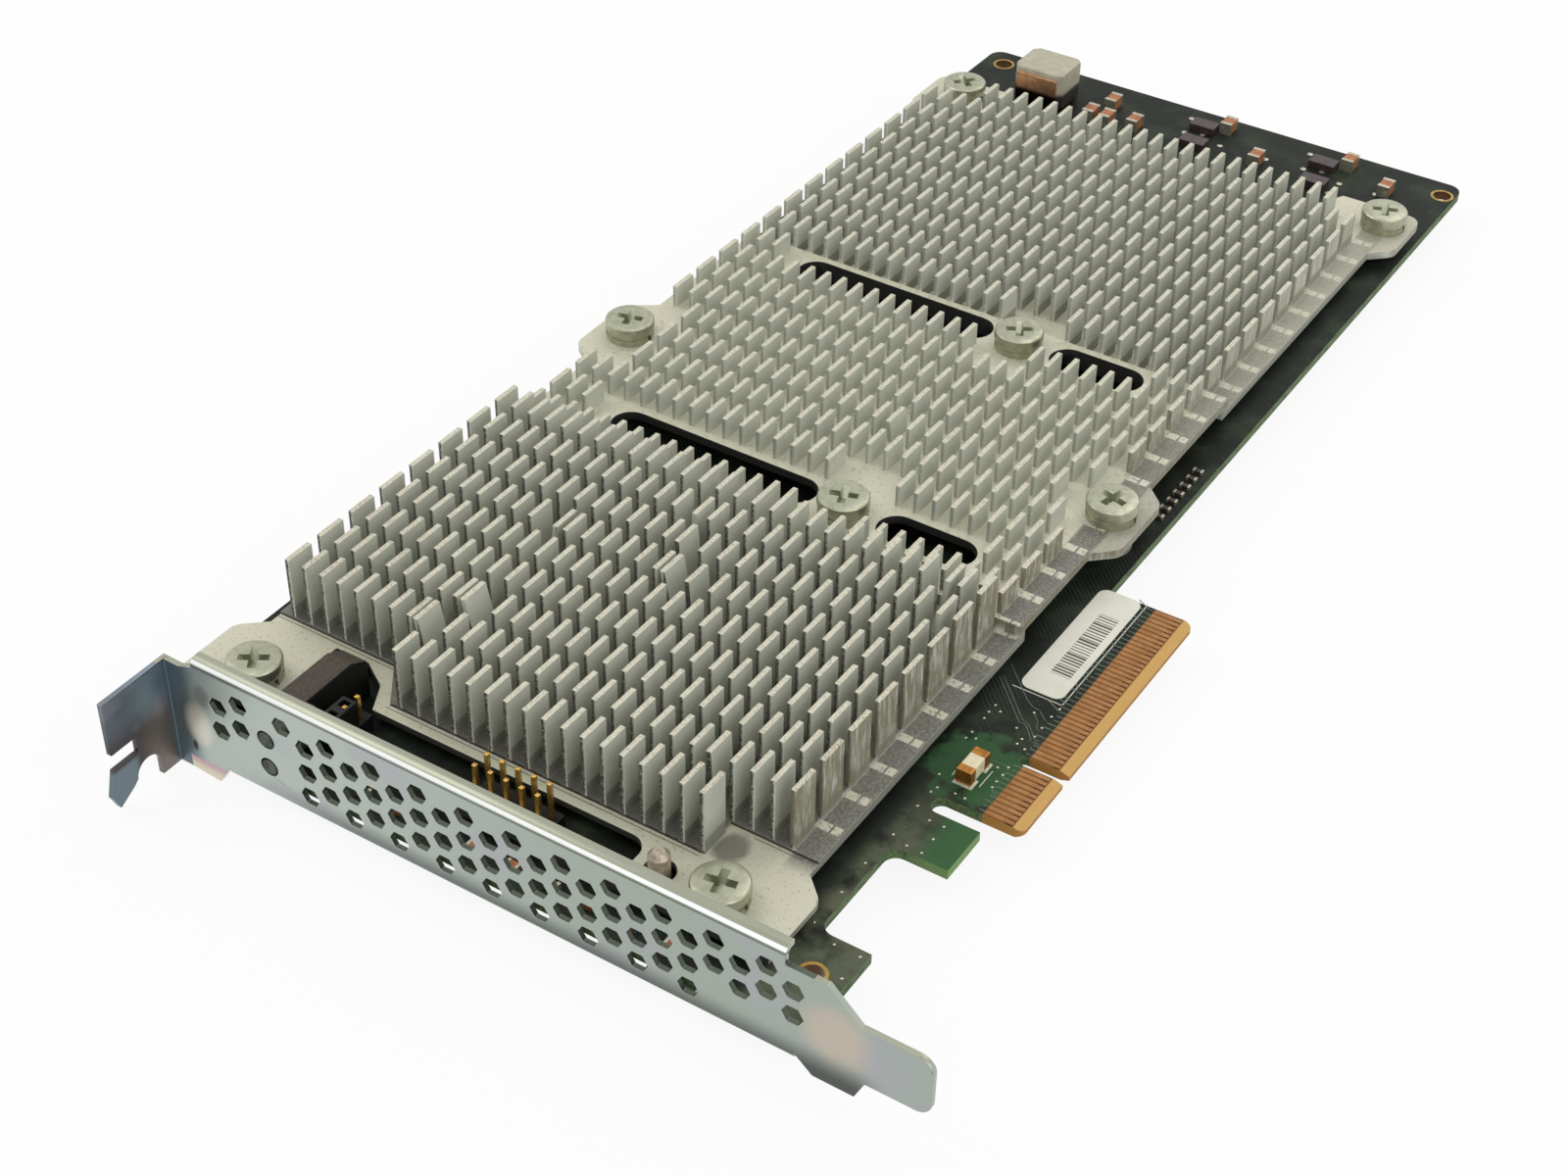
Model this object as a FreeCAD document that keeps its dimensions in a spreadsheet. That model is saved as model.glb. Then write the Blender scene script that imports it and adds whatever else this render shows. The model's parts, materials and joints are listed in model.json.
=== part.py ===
import FreeCAD, Part
import math
import os
from types import SimpleNamespace

import Sketcher

# Flash cache card: a full-height expansion card with a cast pin-fin heat sink and a vented bracket.
# Frame: X = 0 at the edge contacts' lower edge and grows out of the connector, Y = 0 at the key notch
# and grows away from the bracket, Z = 0 on the board's component face. Millimetres.

SIZES = {
    # circuit board
    "board_height": 111.15,
    "board_front": 57.15,
    "board_rear": 180.8,
    "board_thickness": 1.57,
    "board_lower_edge": 13.4,
    "board_corner_radius": 2.5,
    "key_width": 1.9,
    "key_depth": 7.2,
    "contact_pitch": 1.0,
    "contacts_before_key": 11,
    "contacts_after_key": 38,
    "key_to_contact": 1.5,
    "contact_width": 0.7,
    "contact_length": 4.25,
    "contact_inset": 1.65,
    "contact_thickness": 0.06,
    "tongue_margin": 0.65,
    "tongue_corner_radius": 1.2,
    "bevel_length": 1.3,
    "bevel_depth": 0.45,
    "relief_width": 3.15,
    "relief_depth": 12.7,
    "relief_radius": 1.4,
    "hook_edge": 4.6,
    "hook_length": 8.5,
    "recess_edge": 13.0,
    "recess_length": 17.8,
    "recess_radius": 2.0,
    "front_tab_edge": 5.2,
    "mount_hole_radius": 1.6,
    "front_hole_x": 9.6,
    "front_hole_inset": 8.7,
    "rear_hole_x": 15.7,
    "rear_hole_inset": 4.7,
    "rear_left_hole_inset": 4.3,
    # heat sink plate
    "plate_thickness": 1.5,
    "plate_clearance": 1.7,
    "plate_raise": 2.0,
    "plate_left_inset": 3.4,
    "plate_right_edge": 17.6,
    "plate_front_inset": 5.65,
    "plate_rear_inset": 26.6,
    "ear_left_overhang": 0.4,
    "side_ear_overhang": 1.3,
    "ear_right_edge": 14.0,
    "ear_rear_inset": 20.3,
    "ear_reach": 6.6,
    "rear_ear_run": 9.9,
    "ear_slant": 3.4,
    "ear_radius": 2.4,
    "boss_radius": 3.6,
    "lip_depth": 0.4,
    "lip_left_run": 20.75,
    "lip_right_run": 13.4,
    "lip_setback": 17.1,
    "lip_advance": 6.6,
    "lip_slant": 4.8,
    "opening_left_inset": 14.95,
    "opening_notch_width": 5.8,
    "opening_notch_depth": 14.45,
    "opening_slant_run": 6.7,
    "opening_bulge_run": 4.4,
    "opening_bulge_depth": 11.7,
    "opening_bulge_radius": 1.6,
    "opening_right_edge": 37.7,
    "opening_rim": 1.3,
    "opening_depth": 7.2,
    "opening_radius": 2.6,
    "opening_jumper_gap": 1.0,
    "slot_width": 6.6,
    "slot_shift": 0.3,
    "slot_left_inset": 16.15,
    "slot_web_width": 11.1,
    "slot_web_x": 52.45,
    "slot_right_edge": 30.65,
    "slot_wall": 1.4,
    # fins
    "fin_thickness": 0.8,
    "fin_length": 4.8,
    "fin_pitch_x": 3.096,
    "fin_pitch_y": 6.746,
    "fin_left_margin": 2.42,
    "fin_right_margin": 3.9,
    "fin_front_margin": 13.0,
    "fin_rear_margin": 1.0,
    "fin_front_top": 13.3,
    "fin_rear_top": 9.0,
    "fin_root": 0.5,
    "front_rows": 9,
    "first_slot_row": 10,
    "second_slot_row": 18,
    "ear_row": 13,
    "fin_screw_clearance": 6.6,
    "fin_patch_width": 10.0,
    "fin_slot_margin": 1.2,
    "fin_lip_margin": 1.0,
    # screws, washers and nuts
    "screw_radius": 2.0,
    "screw_head_radius": 4.0,
    "screw_head_height": 2.4,
    "screw_head_crown": 3.4,
    "screw_hole_clearance": 0.2,
    "screw_tail": 0.6,
    "washer_radius": 3.9,
    "washer_thickness": 1.0,
    "washer_gap": 0.7,
    "nut_flats": 7.0,
    "nut_height": 2.2,
    "front_screw_inset": 10.7,
    "front_left_screw_inset": 9.75,
    "front_right_screw_x": 24.5,
    "side_left_screw_inset": 4.6,
    "side_right_screw_x": 19.0,
    "web_screw_shift": 1.0,
    "rear_screw_inset": 26.3,
    "rear_left_screw_inset": 7.3,
    # locating pin
    "pin_radius": 1.5,
    "pin_height": 6.2,
    "pin_crown": 0.7,
    "pin_hole_radius": 2.25,
    "pin_x": 33.8,
    # bracket
    "sheet_thickness": 0.86,
    "bracket_gap": 0.99,
    "bracket_left_inset": 5.53,
    "bracket_top": 15.3,
    "bend_radius": 1.3,
    "flange_depth": 2.1,
    "flange_left_run": 5.6,
    "flange_right_edge": 7.0,
    "flange_rise": 2.2,
    "lip_drop": 0.7,
    "lip_return": 1.9,
    "lug_length": 17.0,
    "lug_width": 7.4,
    "foot_drop": 2.2,
    "foot_left_run": 2.6,
    "foot_right_run": 10.1,
    "bulge_left": 5.5,
    "bulge_right": 3.0,
    "bulge_drop": 1.0,
    "shoulder_top": 12.7,
    "tongue_top": 8.3,
    "tongue_bottom": 1.1,
    "tongue_reach": 13.4,
    "tongue_root": 3.5,
    "tongue_tip_radius": 2.2,
    "tab_depth": 11.5,
    "tab_top": 13.2,
    "tab_step": 4.4,
    "tab_arm_top": 1.7,
    "tab_arm_depth": 12.6,
    "tab_waist_depth": 7.0,
    "tab_bottom": 4.9,
    "tab_notch_radius": 2.15,
    "tab_notch_depth": 5.6,
    "tab_notch_top": 2.4,
    "vent_width": 2.75,
    "vent_pitch_x": 3.756,
    "vent_pitch_z": 2.077,
    "vent_left_run": 13.37,
    "vent_top_margin": 4.39,
    "vent_right_edge": 5.0,
    # status lamps behind the bracket
    "lamp_inset": 23.3,
    "lamp_hole_radius": 1.45,
    "lamp_upper_z": 7.2,
    "lamp_lower_z": 2.4,
    "lamp_clearance": 0.25,
    "housing_shift": 2.4,
    "housing_width": 4.4,
    "housing_height": 7.8,
    "housing_front_gap": 5.6,
    "housing_length": 14.14,
    "housing_lamp_depth": 2.0,
    "housing_slope_run": 3.1,
    "housing_slope_drop": 1.6,
    # pin headers
    "header_pitch": 2.54,
    "header_pin_width": 0.64,
    "header_base_height": 2.5,
    "header_pin_top": 8.5,
    "header_columns": 5,
    "header_x": 61.3,
    "header_inset": 8.6,
    "jumper_pin_top": 6.2,
    "jumper_inset": 26.7,
    "jumper_front_inset": 7.27,
    "jumper_count": 3,
    "shunt_bottom": 2.7,
    "shunt_height": 4.0,
    "shunt_wall": 0.9,
    "shunt_window": 1.3,
    "shunt_window_depth": 1.5,
    # power parts behind the heat sink
    "inductor_width": 10.2,
    "inductor_depth": 8.8,
    "inductor_height": 8.0,
    "inductor_inset": 13.0,
    "inductor_rear_inset": 8.6,
    "inductor_foot": 0.9,
    "inductor_chamfer": 1.0,
    "strap_thickness": 0.5,
    "strap_width": 8.4,
    # fuse and label on the lower edge
    "fuse_x": 11.05,
    "fuse_y": 6.03,
    "fuse_width": 2.4,
    "fuse_length": 5.3,
    "fuse_height": 2.45,
    "fuse_cap_length": 1.35,
    "fuse_cap_wall": 0.1,
    "label_x": 11.35,
    "label_y": 26.3,
    "label_width": 6.7,
    "label_length": 25.8,
    "label_radius": 1.5,
    "label_thickness": 0.12,
    # chips
    "controller_width": 38.0,
    "controller_height": 3.2,
    "flash_width": 12.0,
    "flash_length": 18.0,
    "flash_height": 1.2,
    "flash_columns": 4,
    "flash_gap": 6.0,
    "memory_width": 11.0,
    "memory_length": 13.0,
    "memory_height": 1.2,
    "memory_gap": 4.0,
    "passive_length": 3.4,
    "passive_width": 2.2,
    "passive_height": 2.2,
    "choke_width": 5.0,
    "choke_length": 3.0,
    "choke_height": 1.4,
    "side_part_length": 1.6,
    "side_part_width": 0.8,
    "side_part_height": 0.6,
    "side_part_count": 7,
    "side_part_pitch": 2.3,
    "front_part_length": 2.0,
    "front_part_width": 1.25,
    "front_part_height": 0.9,
    "front_part_count": 9,
    "front_part_pitch": 6.2,
    "front_part_x": 76.0,
}

doc = FreeCAD.newDocument("flash_cache_card")
sheet = doc.addObject("Spreadsheet::Sheet", "Sizes")
for number, (alias, value) in enumerate(SIZES.items(), start=1):
    sheet.set("A%d" % number, alias)
    sheet.set("B%d" % number, str(value))
    sheet.setAlias("B%d" % number, alias)
doc.recompute()


class Dim:
    """A length together with the sheet expression that gives it."""

    def __init__(self, number, text):
        self.number = float(number)
        self.text = text

    def __add__(self, other):
        other = dim(other)
        return Dim(self.number + other.number, "(%s + %s)" % (self.text, other.text))

    def __sub__(self, other):
        other = dim(other)
        return Dim(self.number - other.number, "(%s - %s)" % (self.text, other.text))

    def __mul__(self, other):
        other = dim(other)
        return Dim(self.number * other.number, "(%s * %s)" % (self.text, other.text))

    def __truediv__(self, other):
        other = dim(other)
        return Dim(self.number / other.number, "(%s / %s)" % (self.text, other.text))

    def __neg__(self):
        return Dim(-self.number, "(0 - %s)" % self.text)

    def __radd__(self, other):
        return dim(other) + self

    def __rsub__(self, other):
        return dim(other) - self

    def __rmul__(self, other):
        return dim(other) * self


def dim(value):
    if isinstance(value, Dim):
        return value
    return Dim(value, "%.6f" % value if value >= 0 else "(0 - %.6f)" % -value)


s = SimpleNamespace(**{alias: Dim(sheet.get(alias), "Sizes." + alias) for alias in SIZES})


def vector(x, y, z=0):
    return FreeCAD.Vector(*(dim(value).number for value in (x, y, z)))


# Document helpers

def new_body(name):
    return doc.addObject("PartDesign::Body", name)


def new_sketch(body, name, plane, offset):
    """A sketch on one of the body's origin planes, moved along the plane's normal."""
    sketch = body.newObject("Sketcher::SketchObject", name)
    support = next(item for item in body.Origin.OriginFeatures if item.Role == plane)
    sketch.AttachmentSupport = [(support, "")]
    sketch.MapMode = "FlatFace"
    sketch.setExpression("AttachmentOffset.Base.z", dim(offset).text)
    return sketch


def drive(sketch, constraints):
    """Add constraints at once; each comes with the length that drives it, or None."""
    first = sketch.ConstraintCount
    sketch.addConstraint([constraint for constraint, length in constraints])
    for index, (constraint, length) in enumerate(constraints, start=first):
        if length is not None:
            sketch.setExpression("Constraints[%d]" % index, length.text)


def held_point(geometry, point, x, y):
    return [
        (Sketcher.Constraint("DistanceX", -1, 1, geometry, point, x.number), x),
        (Sketcher.Constraint("DistanceY", -1, 1, geometry, point, y.number), y),
    ]


def add_polygon(sketch, points):
    points = [(dim(x), dim(y)) for x, y in points]
    first = sketch.GeometryCount
    for here, there in zip(points, points[1:] + points[:1]):
        sketch.addGeometry(Part.LineSegment(vector(*here), vector(*there)))
    constraints = []
    for index, (x, y) in enumerate(points):
        before = first + (index - 1) % len(points)
        constraints.append((Sketcher.Constraint("Coincident", before, 2, first + index, 1), None))
        constraints += held_point(first + index, 1, x, y)
    drive(sketch, constraints)


def add_rectangle(sketch, x0, x1, y0, y1):
    add_polygon(sketch, [(x0, y0), (x1, y0), (x1, y1), (x0, y1)])


def add_circle(sketch, x, y, radius):
    x, y, radius = dim(x), dim(y), dim(radius)
    index = sketch.addGeometry(Part.Circle(vector(x, y), vector(0, 0, 1), radius.number))
    drive(sketch, held_point(index, 3, x, y)
          + [(Sketcher.Constraint("Radius", index, radius.number), radius)])


def add_slot(sketch, x0, x1, y, width):
    """A slot along x with round ends that reach x0 and x1."""
    radius = dim(width) / 2
    left, right = dim(x0) + radius, dim(x1) - radius
    centre_y = dim(y)
    top, bottom = centre_y + radius, centre_y - radius
    first = sketch.addGeometry(Part.LineSegment(vector(right, top), vector(left, top)))
    quarter = math.pi / 2
    left_end = Part.Circle(vector(left, centre_y), vector(0, 0, 1), radius.number)
    sketch.addGeometry(Part.ArcOfCircle(left_end, quarter, 3 * quarter))
    sketch.addGeometry(Part.LineSegment(vector(left, bottom), vector(right, bottom)))
    right_end = Part.Circle(vector(right, centre_y), vector(0, 0, 1), radius.number)
    sketch.addGeometry(Part.ArcOfCircle(right_end, -quarter, quarter))
    joins = [(first, 2, first + 1, 1), (first + 1, 2, first + 2, 1),
             (first + 2, 2, first + 3, 1), (first + 3, 2, first, 1)]
    constraints = [(Sketcher.Constraint("Tangent", *join), None) for join in joins]
    constraints.append((Sketcher.Constraint("Equal", first + 1, first + 3), None))
    constraints.append((Sketcher.Constraint("Radius", first + 1, radius.number), radius))
    constraints += held_point(first + 1, 3, left, centre_y)
    constraints += held_point(first + 3, 3, right, centre_y)
    drive(sketch, constraints)


def add_bend(sketch, y, z, depth, radius, thickness, side):
    """The section of a sheet that turns from upright into a flange; side is 1 upward, -1 downward."""
    y, z = dim(y), dim(z)
    inner = radius - thickness
    centre = (y + radius, z - side * radius)
    level = z - side * thickness
    points = [(y + radius, z), (y + depth, z), (y + depth, level), (y + radius, level),
              (y + thickness, centre[1]), (y, centre[1])]
    first = sketch.GeometryCount
    for index in (0, 1, 2, 4):
        sketch.addGeometry(Part.LineSegment(vector(*points[index]), vector(*points[index + 1])))
    quarter = math.pi / 2
    start, end = (quarter, 2 * quarter) if side > 0 else (2 * quarter, 3 * quarter)
    for arc_radius in (inner, radius):
        circle = Part.Circle(vector(*centre), vector(0, 0, 1), arc_radius.number)
        sketch.addGeometry(Part.ArcOfCircle(circle, start, end))
    upright_end, flat_end = (2, 1) if side > 0 else (1, 2)
    joins = [(first, 2, first + 1, 1), (first + 1, 2, first + 2, 1), (first + 2, 2, first + 4, flat_end),
             (first + 4, upright_end, first + 3, 1), (first + 3, 2, first + 5, upright_end),
             (first + 5, flat_end, first, 1)]
    constraints = [(Sketcher.Constraint("Coincident", *join), None) for join in joins]
    for line, index in ((0, 0), (1, 1), (2, 2)):
        constraints += held_point(first + line, 1, *points[index])
    constraints += held_point(first + 2, 2, *points[3])
    constraints += held_point(first + 3, 1, *points[4])
    constraints += held_point(first + 3, 2, *points[5])
    for arc, arc_radius in ((first + 4, inner), (first + 5, radius)):
        constraints.append((Sketcher.Constraint("Radius", arc, arc_radius.number), arc_radius))
    drive(sketch, constraints)


def pad(body, sketch, length):
    feature = body.newObject("PartDesign::Pad", sketch.Name + "_pad")
    feature.Profile = sketch
    feature.setExpression("Length", dim(length).text)
    return feature


def pocket(body, sketch, depth=None):
    """Cut against the sketch's normal, through everything unless a depth is given."""
    feature = body.newObject("PartDesign::Pocket", sketch.Name + "_cut")
    feature.Profile = sketch
    if depth is None:
        feature.Type = "ThroughAll"
    else:
        feature.setExpression("Length", dim(depth).text)
    return feature


def round_edges(body, name, axis, places, radius):
    """Round the edges along one axis that pass through the given places in the other two."""
    doc.recompute()
    base = body.Tip
    others = [index for index in range(3) if index != axis]
    wanted = [tuple(dim(value).number for value in place) for place in places]
    names = []
    for index, edge in enumerate(base.Shape.Edges, start=1):
        start, end = edge.Vertexes[0].Point, edge.Vertexes[-1].Point
        if abs(start[axis] - end[axis]) < 1e-4:
            continue
        for place in wanted:
            if all(abs(point[other] - value) < 1e-3
                   for point in (start, end) for other, value in zip(others, place)):
                names.append("Edge%d" % index)
                break
    feature = body.newObject("PartDesign::Fillet", name)
    feature.Base = (base, names)
    feature.setExpression("Radius", dim(radius).text)
    return feature


def new_box(name, x0, x1, y0, y1, z0, z1):
    box = doc.addObject("Part::Box", name)
    spans = (("Length", "x", x0, x1), ("Width", "y", y0, y1), ("Height", "z", z0, z1))
    for size_name, axis, low, high in spans:
        box.setExpression(size_name, (dim(high) - low).text)
        box.setExpression("Placement.Base." + axis, dim(low).text)
    return box


def boolean(kind, name, base, tool):
    feature = doc.addObject(kind, name)
    feature.Base = base
    feature.Tool = tool
    return feature


def copies(name, prototype, places):
    """One node that holds a separate copy of the prototype at each place."""
    doc.recompute()
    group = doc.addObject("Part::Feature", name)
    group.Shape = Part.Compound([prototype.Shape.translated(vector(*place)) for place in places])
    return group


def boxes(name, blocks):
    """One node of separate blocks, each given by its middle, its plan size, its foot and its top."""
    group = doc.addObject("Part::Feature", name)
    solids = []
    for x, y, length_x, length_y, foot, top in blocks:
        corner = vector(x - dim(length_x) / 2, y - dim(length_y) / 2, foot)
        solids.append(Part.makeBox(dim(length_x).number, dim(length_y).number,
                                   (dim(top) - foot).number, corner))
    group.Shape = Part.Compound(solids)
    return group


# Places that several pieces share

board_left = -s.board_height
board_bottom = -s.board_thickness
plate_left = board_left + s.plate_left_inset
plate_right = -s.plate_right_edge
plate_front = -(s.board_front - s.plate_front_inset)
plate_rear = s.board_rear - s.plate_rear_inset
ear_left = board_left - s.ear_left_overhang
side_ear_left = board_left - s.side_ear_overhang
ear_right = -s.ear_right_edge
ear_rear = s.board_rear - s.ear_rear_inset
low_top = s.plate_clearance + s.plate_thickness
high_bottom = s.plate_clearance + s.plate_raise
high_top = high_bottom + s.plate_thickness

first_row = plate_front + s.fin_front_margin
first_column = plate_left + s.fin_left_margin


def row_y(row):
    return first_row + row * s.fin_pitch_y


front_step = row_y(s.front_rows) - s.fin_pitch_y / 2
slot_rows = (s.first_slot_row, s.second_slot_row)
slot_ys = [row_y(row) - s.slot_shift for row in slot_rows]
rear_step = slot_ys[1] + s.slot_width / 2 + s.slot_wall
ear_y = row_y(s.ear_row)
web_left = -s.slot_web_x - s.slot_web_width / 2
web_right = -s.slot_web_x + s.slot_web_width / 2
slot_left = board_left + s.slot_left_inset
slot_right = -s.slot_right_edge

front_screw_y = -(s.board_front - s.front_screw_inset)
rear_screw_y = s.board_rear - s.rear_screw_inset
front_screws = [(board_left + s.front_left_screw_inset, front_screw_y),
                (-s.front_right_screw_x, front_screw_y)]
rear_screws = [(board_left + s.rear_left_screw_inset, rear_screw_y),
               (-s.side_right_screw_x, rear_screw_y)]
side_screws = [(board_left + s.side_left_screw_inset, ear_y), (-s.side_right_screw_x, ear_y)]
web_screws = [(-s.slot_web_x, y - s.web_screw_shift) for y in slot_ys]
low_screws = front_screws + rear_screws
high_screws = side_screws + web_screws
screw_hole_radius = s.screw_radius + s.screw_hole_clearance
pin_place = (-s.pin_x, front_screw_y)

bracket_inner = -(s.board_front + s.bracket_gap)
bracket_outer = bracket_inner - s.sheet_thickness
bracket_left = board_left + s.bracket_left_inset
lug_bottom = board_bottom - s.sheet_thickness
lip_bottom = lug_bottom - s.lip_drop
lamp_x = board_left + s.lamp_inset


# Circuit board

def make_circuit_board():
    body = new_body("circuit_board")
    tongue_front = -(s.key_to_contact + (s.contacts_before_key - 1) * s.contact_pitch + s.tongue_margin)
    tongue_rear = s.key_to_contact + (s.contacts_after_key - 1) * s.contact_pitch + s.tongue_margin
    hook_rear = tongue_front - s.relief_width
    hook_front = hook_rear - s.hook_length
    recess_front = hook_front - s.recess_length
    lower_edge = -s.board_lower_edge
    recess = -s.recess_edge
    outline = [
        (board_left, -s.board_front),
        (-s.front_tab_edge, -s.board_front),
        (-s.front_tab_edge, recess_front),
        (recess, recess_front),
        (recess, hook_front),
        (-s.hook_edge, hook_front),
        (-s.hook_edge, hook_rear),
        (-s.relief_depth, hook_rear),
        (-s.relief_depth, tongue_front),
        (0, tongue_front),
        (0, tongue_rear),
        (lower_edge, tongue_rear),
        (lower_edge, s.board_rear),
        (board_left, s.board_rear),
    ]
    sketch = new_sketch(body, "board_outline", "XY_Plane", board_bottom)
    add_polygon(sketch, outline)
    pad(body, sketch, s.board_thickness)
    round_edges(body, "tongue_ends", 2, [(0, tongue_front), (0, tongue_rear)], s.tongue_corner_radius)

    key = new_sketch(body, "board_key", "XY_Plane", 0)
    add_slot_end(key, -s.key_depth, s.key_width)
    pocket(body, key)

    bevel = new_sketch(body, "board_bevel", "XZ_Plane", s.board_front)
    for face, inward in ((dim(0), -1), (board_bottom, 1)):
        add_polygon(bevel, [(-s.bevel_length, face), (0, face), (0, face + inward * s.bevel_depth)])
    pocket(body, bevel)

    round_edges(body, "board_corners", 2, [(lower_edge, s.board_rear), (board_left, s.board_rear)],
                s.board_corner_radius)
    round_edges(body, "board_recess", 2, [(recess, recess_front), (recess, hook_front)], s.recess_radius)
    round_edges(body, "board_relief", 2, [(-s.relief_depth, hook_rear), (-s.relief_depth, tongue_front)],
                s.relief_radius)

    holes = new_sketch(body, "board_holes", "XY_Plane", 0)
    for x, y in low_screws + high_screws:
        add_circle(holes, x, y, screw_hole_radius)
    add_circle(holes, *pin_place, s.pin_radius)
    add_circle(holes, -s.front_hole_x, -(s.board_front - s.front_hole_inset), s.mount_hole_radius)
    for x in (-s.rear_hole_x, board_left + s.rear_left_hole_inset):
        add_circle(holes, x, s.board_rear - s.rear_hole_inset, s.mount_hole_radius)
    pocket(body, holes)
    return body


def add_slot_end(sketch, closed_end, width):
    """The key notch: open past the tongue's edge, round at its closed end."""
    add_slot(sketch, closed_end, width * 2, 0, width)


def contact_places():
    before = int(s.contacts_before_key.number)
    after = int(s.contacts_after_key.number)
    for index in range(before):
        yield -s.key_to_contact - index * s.contact_pitch
    for index in range(after):
        yield s.key_to_contact + index * s.contact_pitch


def make_edge_contacts():
    x = -s.contact_inset - s.contact_length / 2
    return boxes("edge_contacts", [(x, y, s.contact_length, s.contact_width, 0, s.contact_thickness)
                                   for y in contact_places()])


# Heat sink

def plate_outline():
    """Left and right sides carry three ears each; the rear edge steps back between the rear ears."""
    reach = s.ear_reach
    slant = s.ear_slant
    front_ear = front_screw_y + reach
    rear_ear = rear_screw_y - reach
    rear_run = s.rear_ear_run
    right = [
        (ear_right, plate_front), (ear_right, front_ear), (plate_right, front_ear + slant),
        (plate_right, ear_y - reach - slant), (ear_right, ear_y - reach), (ear_right, ear_y + reach),
        (plate_right, ear_y + reach + slant), (plate_right, rear_ear - slant), (ear_right, rear_ear),
        (ear_right, ear_rear), (rear_screws[1][0] - rear_run, ear_rear),
        (rear_screws[1][0] - rear_run - slant, plate_rear),
    ]
    left = [
        (rear_screws[0][0] + reach + slant, plate_rear), (rear_screws[0][0] + reach, ear_rear),
        (ear_left, ear_rear), (ear_left, rear_ear), (plate_left, rear_ear - slant),
        (plate_left, ear_y + reach + slant), (side_ear_left, ear_y + reach),
        (side_ear_left, ear_y - reach),
        (plate_left, ear_y - reach - slant), (plate_left, front_ear + slant), (ear_left, front_ear),
        (ear_left, plate_front),
    ]
    return right + left


def ear_corners():
    """Corners of the plate's outline that the casting rounds off."""
    reach = s.ear_reach
    corners = []
    for x, side_x in ((ear_left, side_ear_left), (ear_right, ear_right)):
        corners += [(x, y) for y in (front_screw_y + reach, rear_screw_y - reach, ear_rear)]
        corners += [(side_x, y) for y in (ear_y - reach, ear_y + reach)]
    return corners


def make_heat_sink_plate():
    body = new_body("heat_sink_plate")
    section = new_sketch(body, "plate_section", "YZ_Plane", side_ear_left)
    wall = s.plate_thickness
    add_polygon(section, [
        (plate_front, s.plate_clearance), (front_step + wall, s.plate_clearance),
        (front_step + wall, high_bottom), (rear_step - wall, high_bottom),
        (rear_step - wall, s.plate_clearance), (ear_rear, s.plate_clearance),
        (ear_rear, low_top), (rear_step, low_top), (rear_step, high_top),
        (front_step, high_top), (front_step, low_top), (plate_front, low_top),
    ])
    pad(body, section, ear_right - side_ear_left)

    trim = new_sketch(body, "plate_trim", "XY_Plane", high_top)
    margin = s.plate_thickness
    add_rectangle(trim, side_ear_left - margin, ear_right + margin, plate_front - margin, ear_rear + margin)
    add_polygon(trim, plate_outline())
    pocket(body, trim)
    round_edges(body, "plate_ears", 2, ear_corners(), s.ear_radius)

    opening_left = board_left + s.opening_left_inset
    notch_right = opening_left + s.opening_notch_width
    opening_front = plate_front + s.opening_rim
    opening_rear = opening_front + s.opening_depth
    opening_right = -s.opening_right_edge
    bulge = (notch_right + s.opening_bulge_run, opening_front + s.opening_bulge_depth)
    opening = new_sketch(body, "plate_opening", "XY_Plane", high_top)
    rim_left = board_left + s.jumper_inset + s.header_pitch / 2 + s.opening_jumper_gap
    open_front = plate_front - s.plate_thickness
    add_polygon(opening, [
        (opening_left, open_front), (rim_left, open_front), (rim_left, opening_front),
        (opening_right, opening_front), (opening_right, opening_rear),
        (notch_right + s.opening_slant_run, opening_rear), bulge,
        (notch_right, opening_front + s.opening_notch_depth),
        (opening_left, opening_front + s.opening_notch_depth),
    ])
    pocket(body, opening)
    round_edges(body, "opening_end", 2, [(opening_right, opening_front), (opening_right, opening_rear)],
                s.opening_radius)
    round_edges(body, "opening_bulge", 2, [bulge], s.opening_bulge_radius)

    slots = new_sketch(body, "plate_slots", "XY_Plane", high_top)
    for y in slot_ys:
        add_slot(slots, slot_left, web_left, y, s.slot_width)
        add_slot(slots, web_right, slot_right, y, s.slot_width)
    pocket(body, slots)

    lip = new_sketch(body, "plate_lip", "XY_Plane", low_top)
    setback = plate_front + s.lip_setback
    advance = setback - s.lip_advance
    left_turn = plate_left + s.lip_left_run
    right_turn = plate_right - s.lip_right_run
    margin = s.plate_thickness
    add_polygon(lip, [
        (ear_left - margin, plate_front - margin), (ear_right + margin, plate_front - margin),
        (ear_right + margin, setback), (right_turn, setback), (right_turn, advance),
        (left_turn + s.lip_slant, advance), (left_turn, setback), (ear_left - margin, setback),
    ])
    pocket(body, lip, s.lip_depth)

    for name, places, top in (("low_bosses", low_screws, low_top), ("high_bosses", high_screws, high_top)):
        bosses = new_sketch(body, name, "XY_Plane", 0)
        for x, y in places:
            add_circle(bosses, x, y, s.boss_radius)
        pad(body, bosses, top - s.plate_thickness / 2)

    holes = new_sketch(body, "plate_holes", "XY_Plane", high_top)
    for x, y in low_screws + high_screws:
        add_circle(holes, x, y, screw_hole_radius)
    add_circle(holes, *pin_place, s.pin_hole_radius)
    pocket(body, holes)
    return body


# Fins that were knocked over, as (row, column): lean of the tip along X in millimetres
BENT_FINS = {
    (1, 8): -1.9, (2, 9): -2.3, (2, 8): -0.5, (5, 8): 1.4, (5, 15): -1.75, (5, 16): -0.75,
    (6, 14): -0.9, (7, 13): 0.6, (7, 26): 0.6, (8, 25): 1.2, (1, 23): -0.5, (13, 16): -0.6,
}


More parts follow.
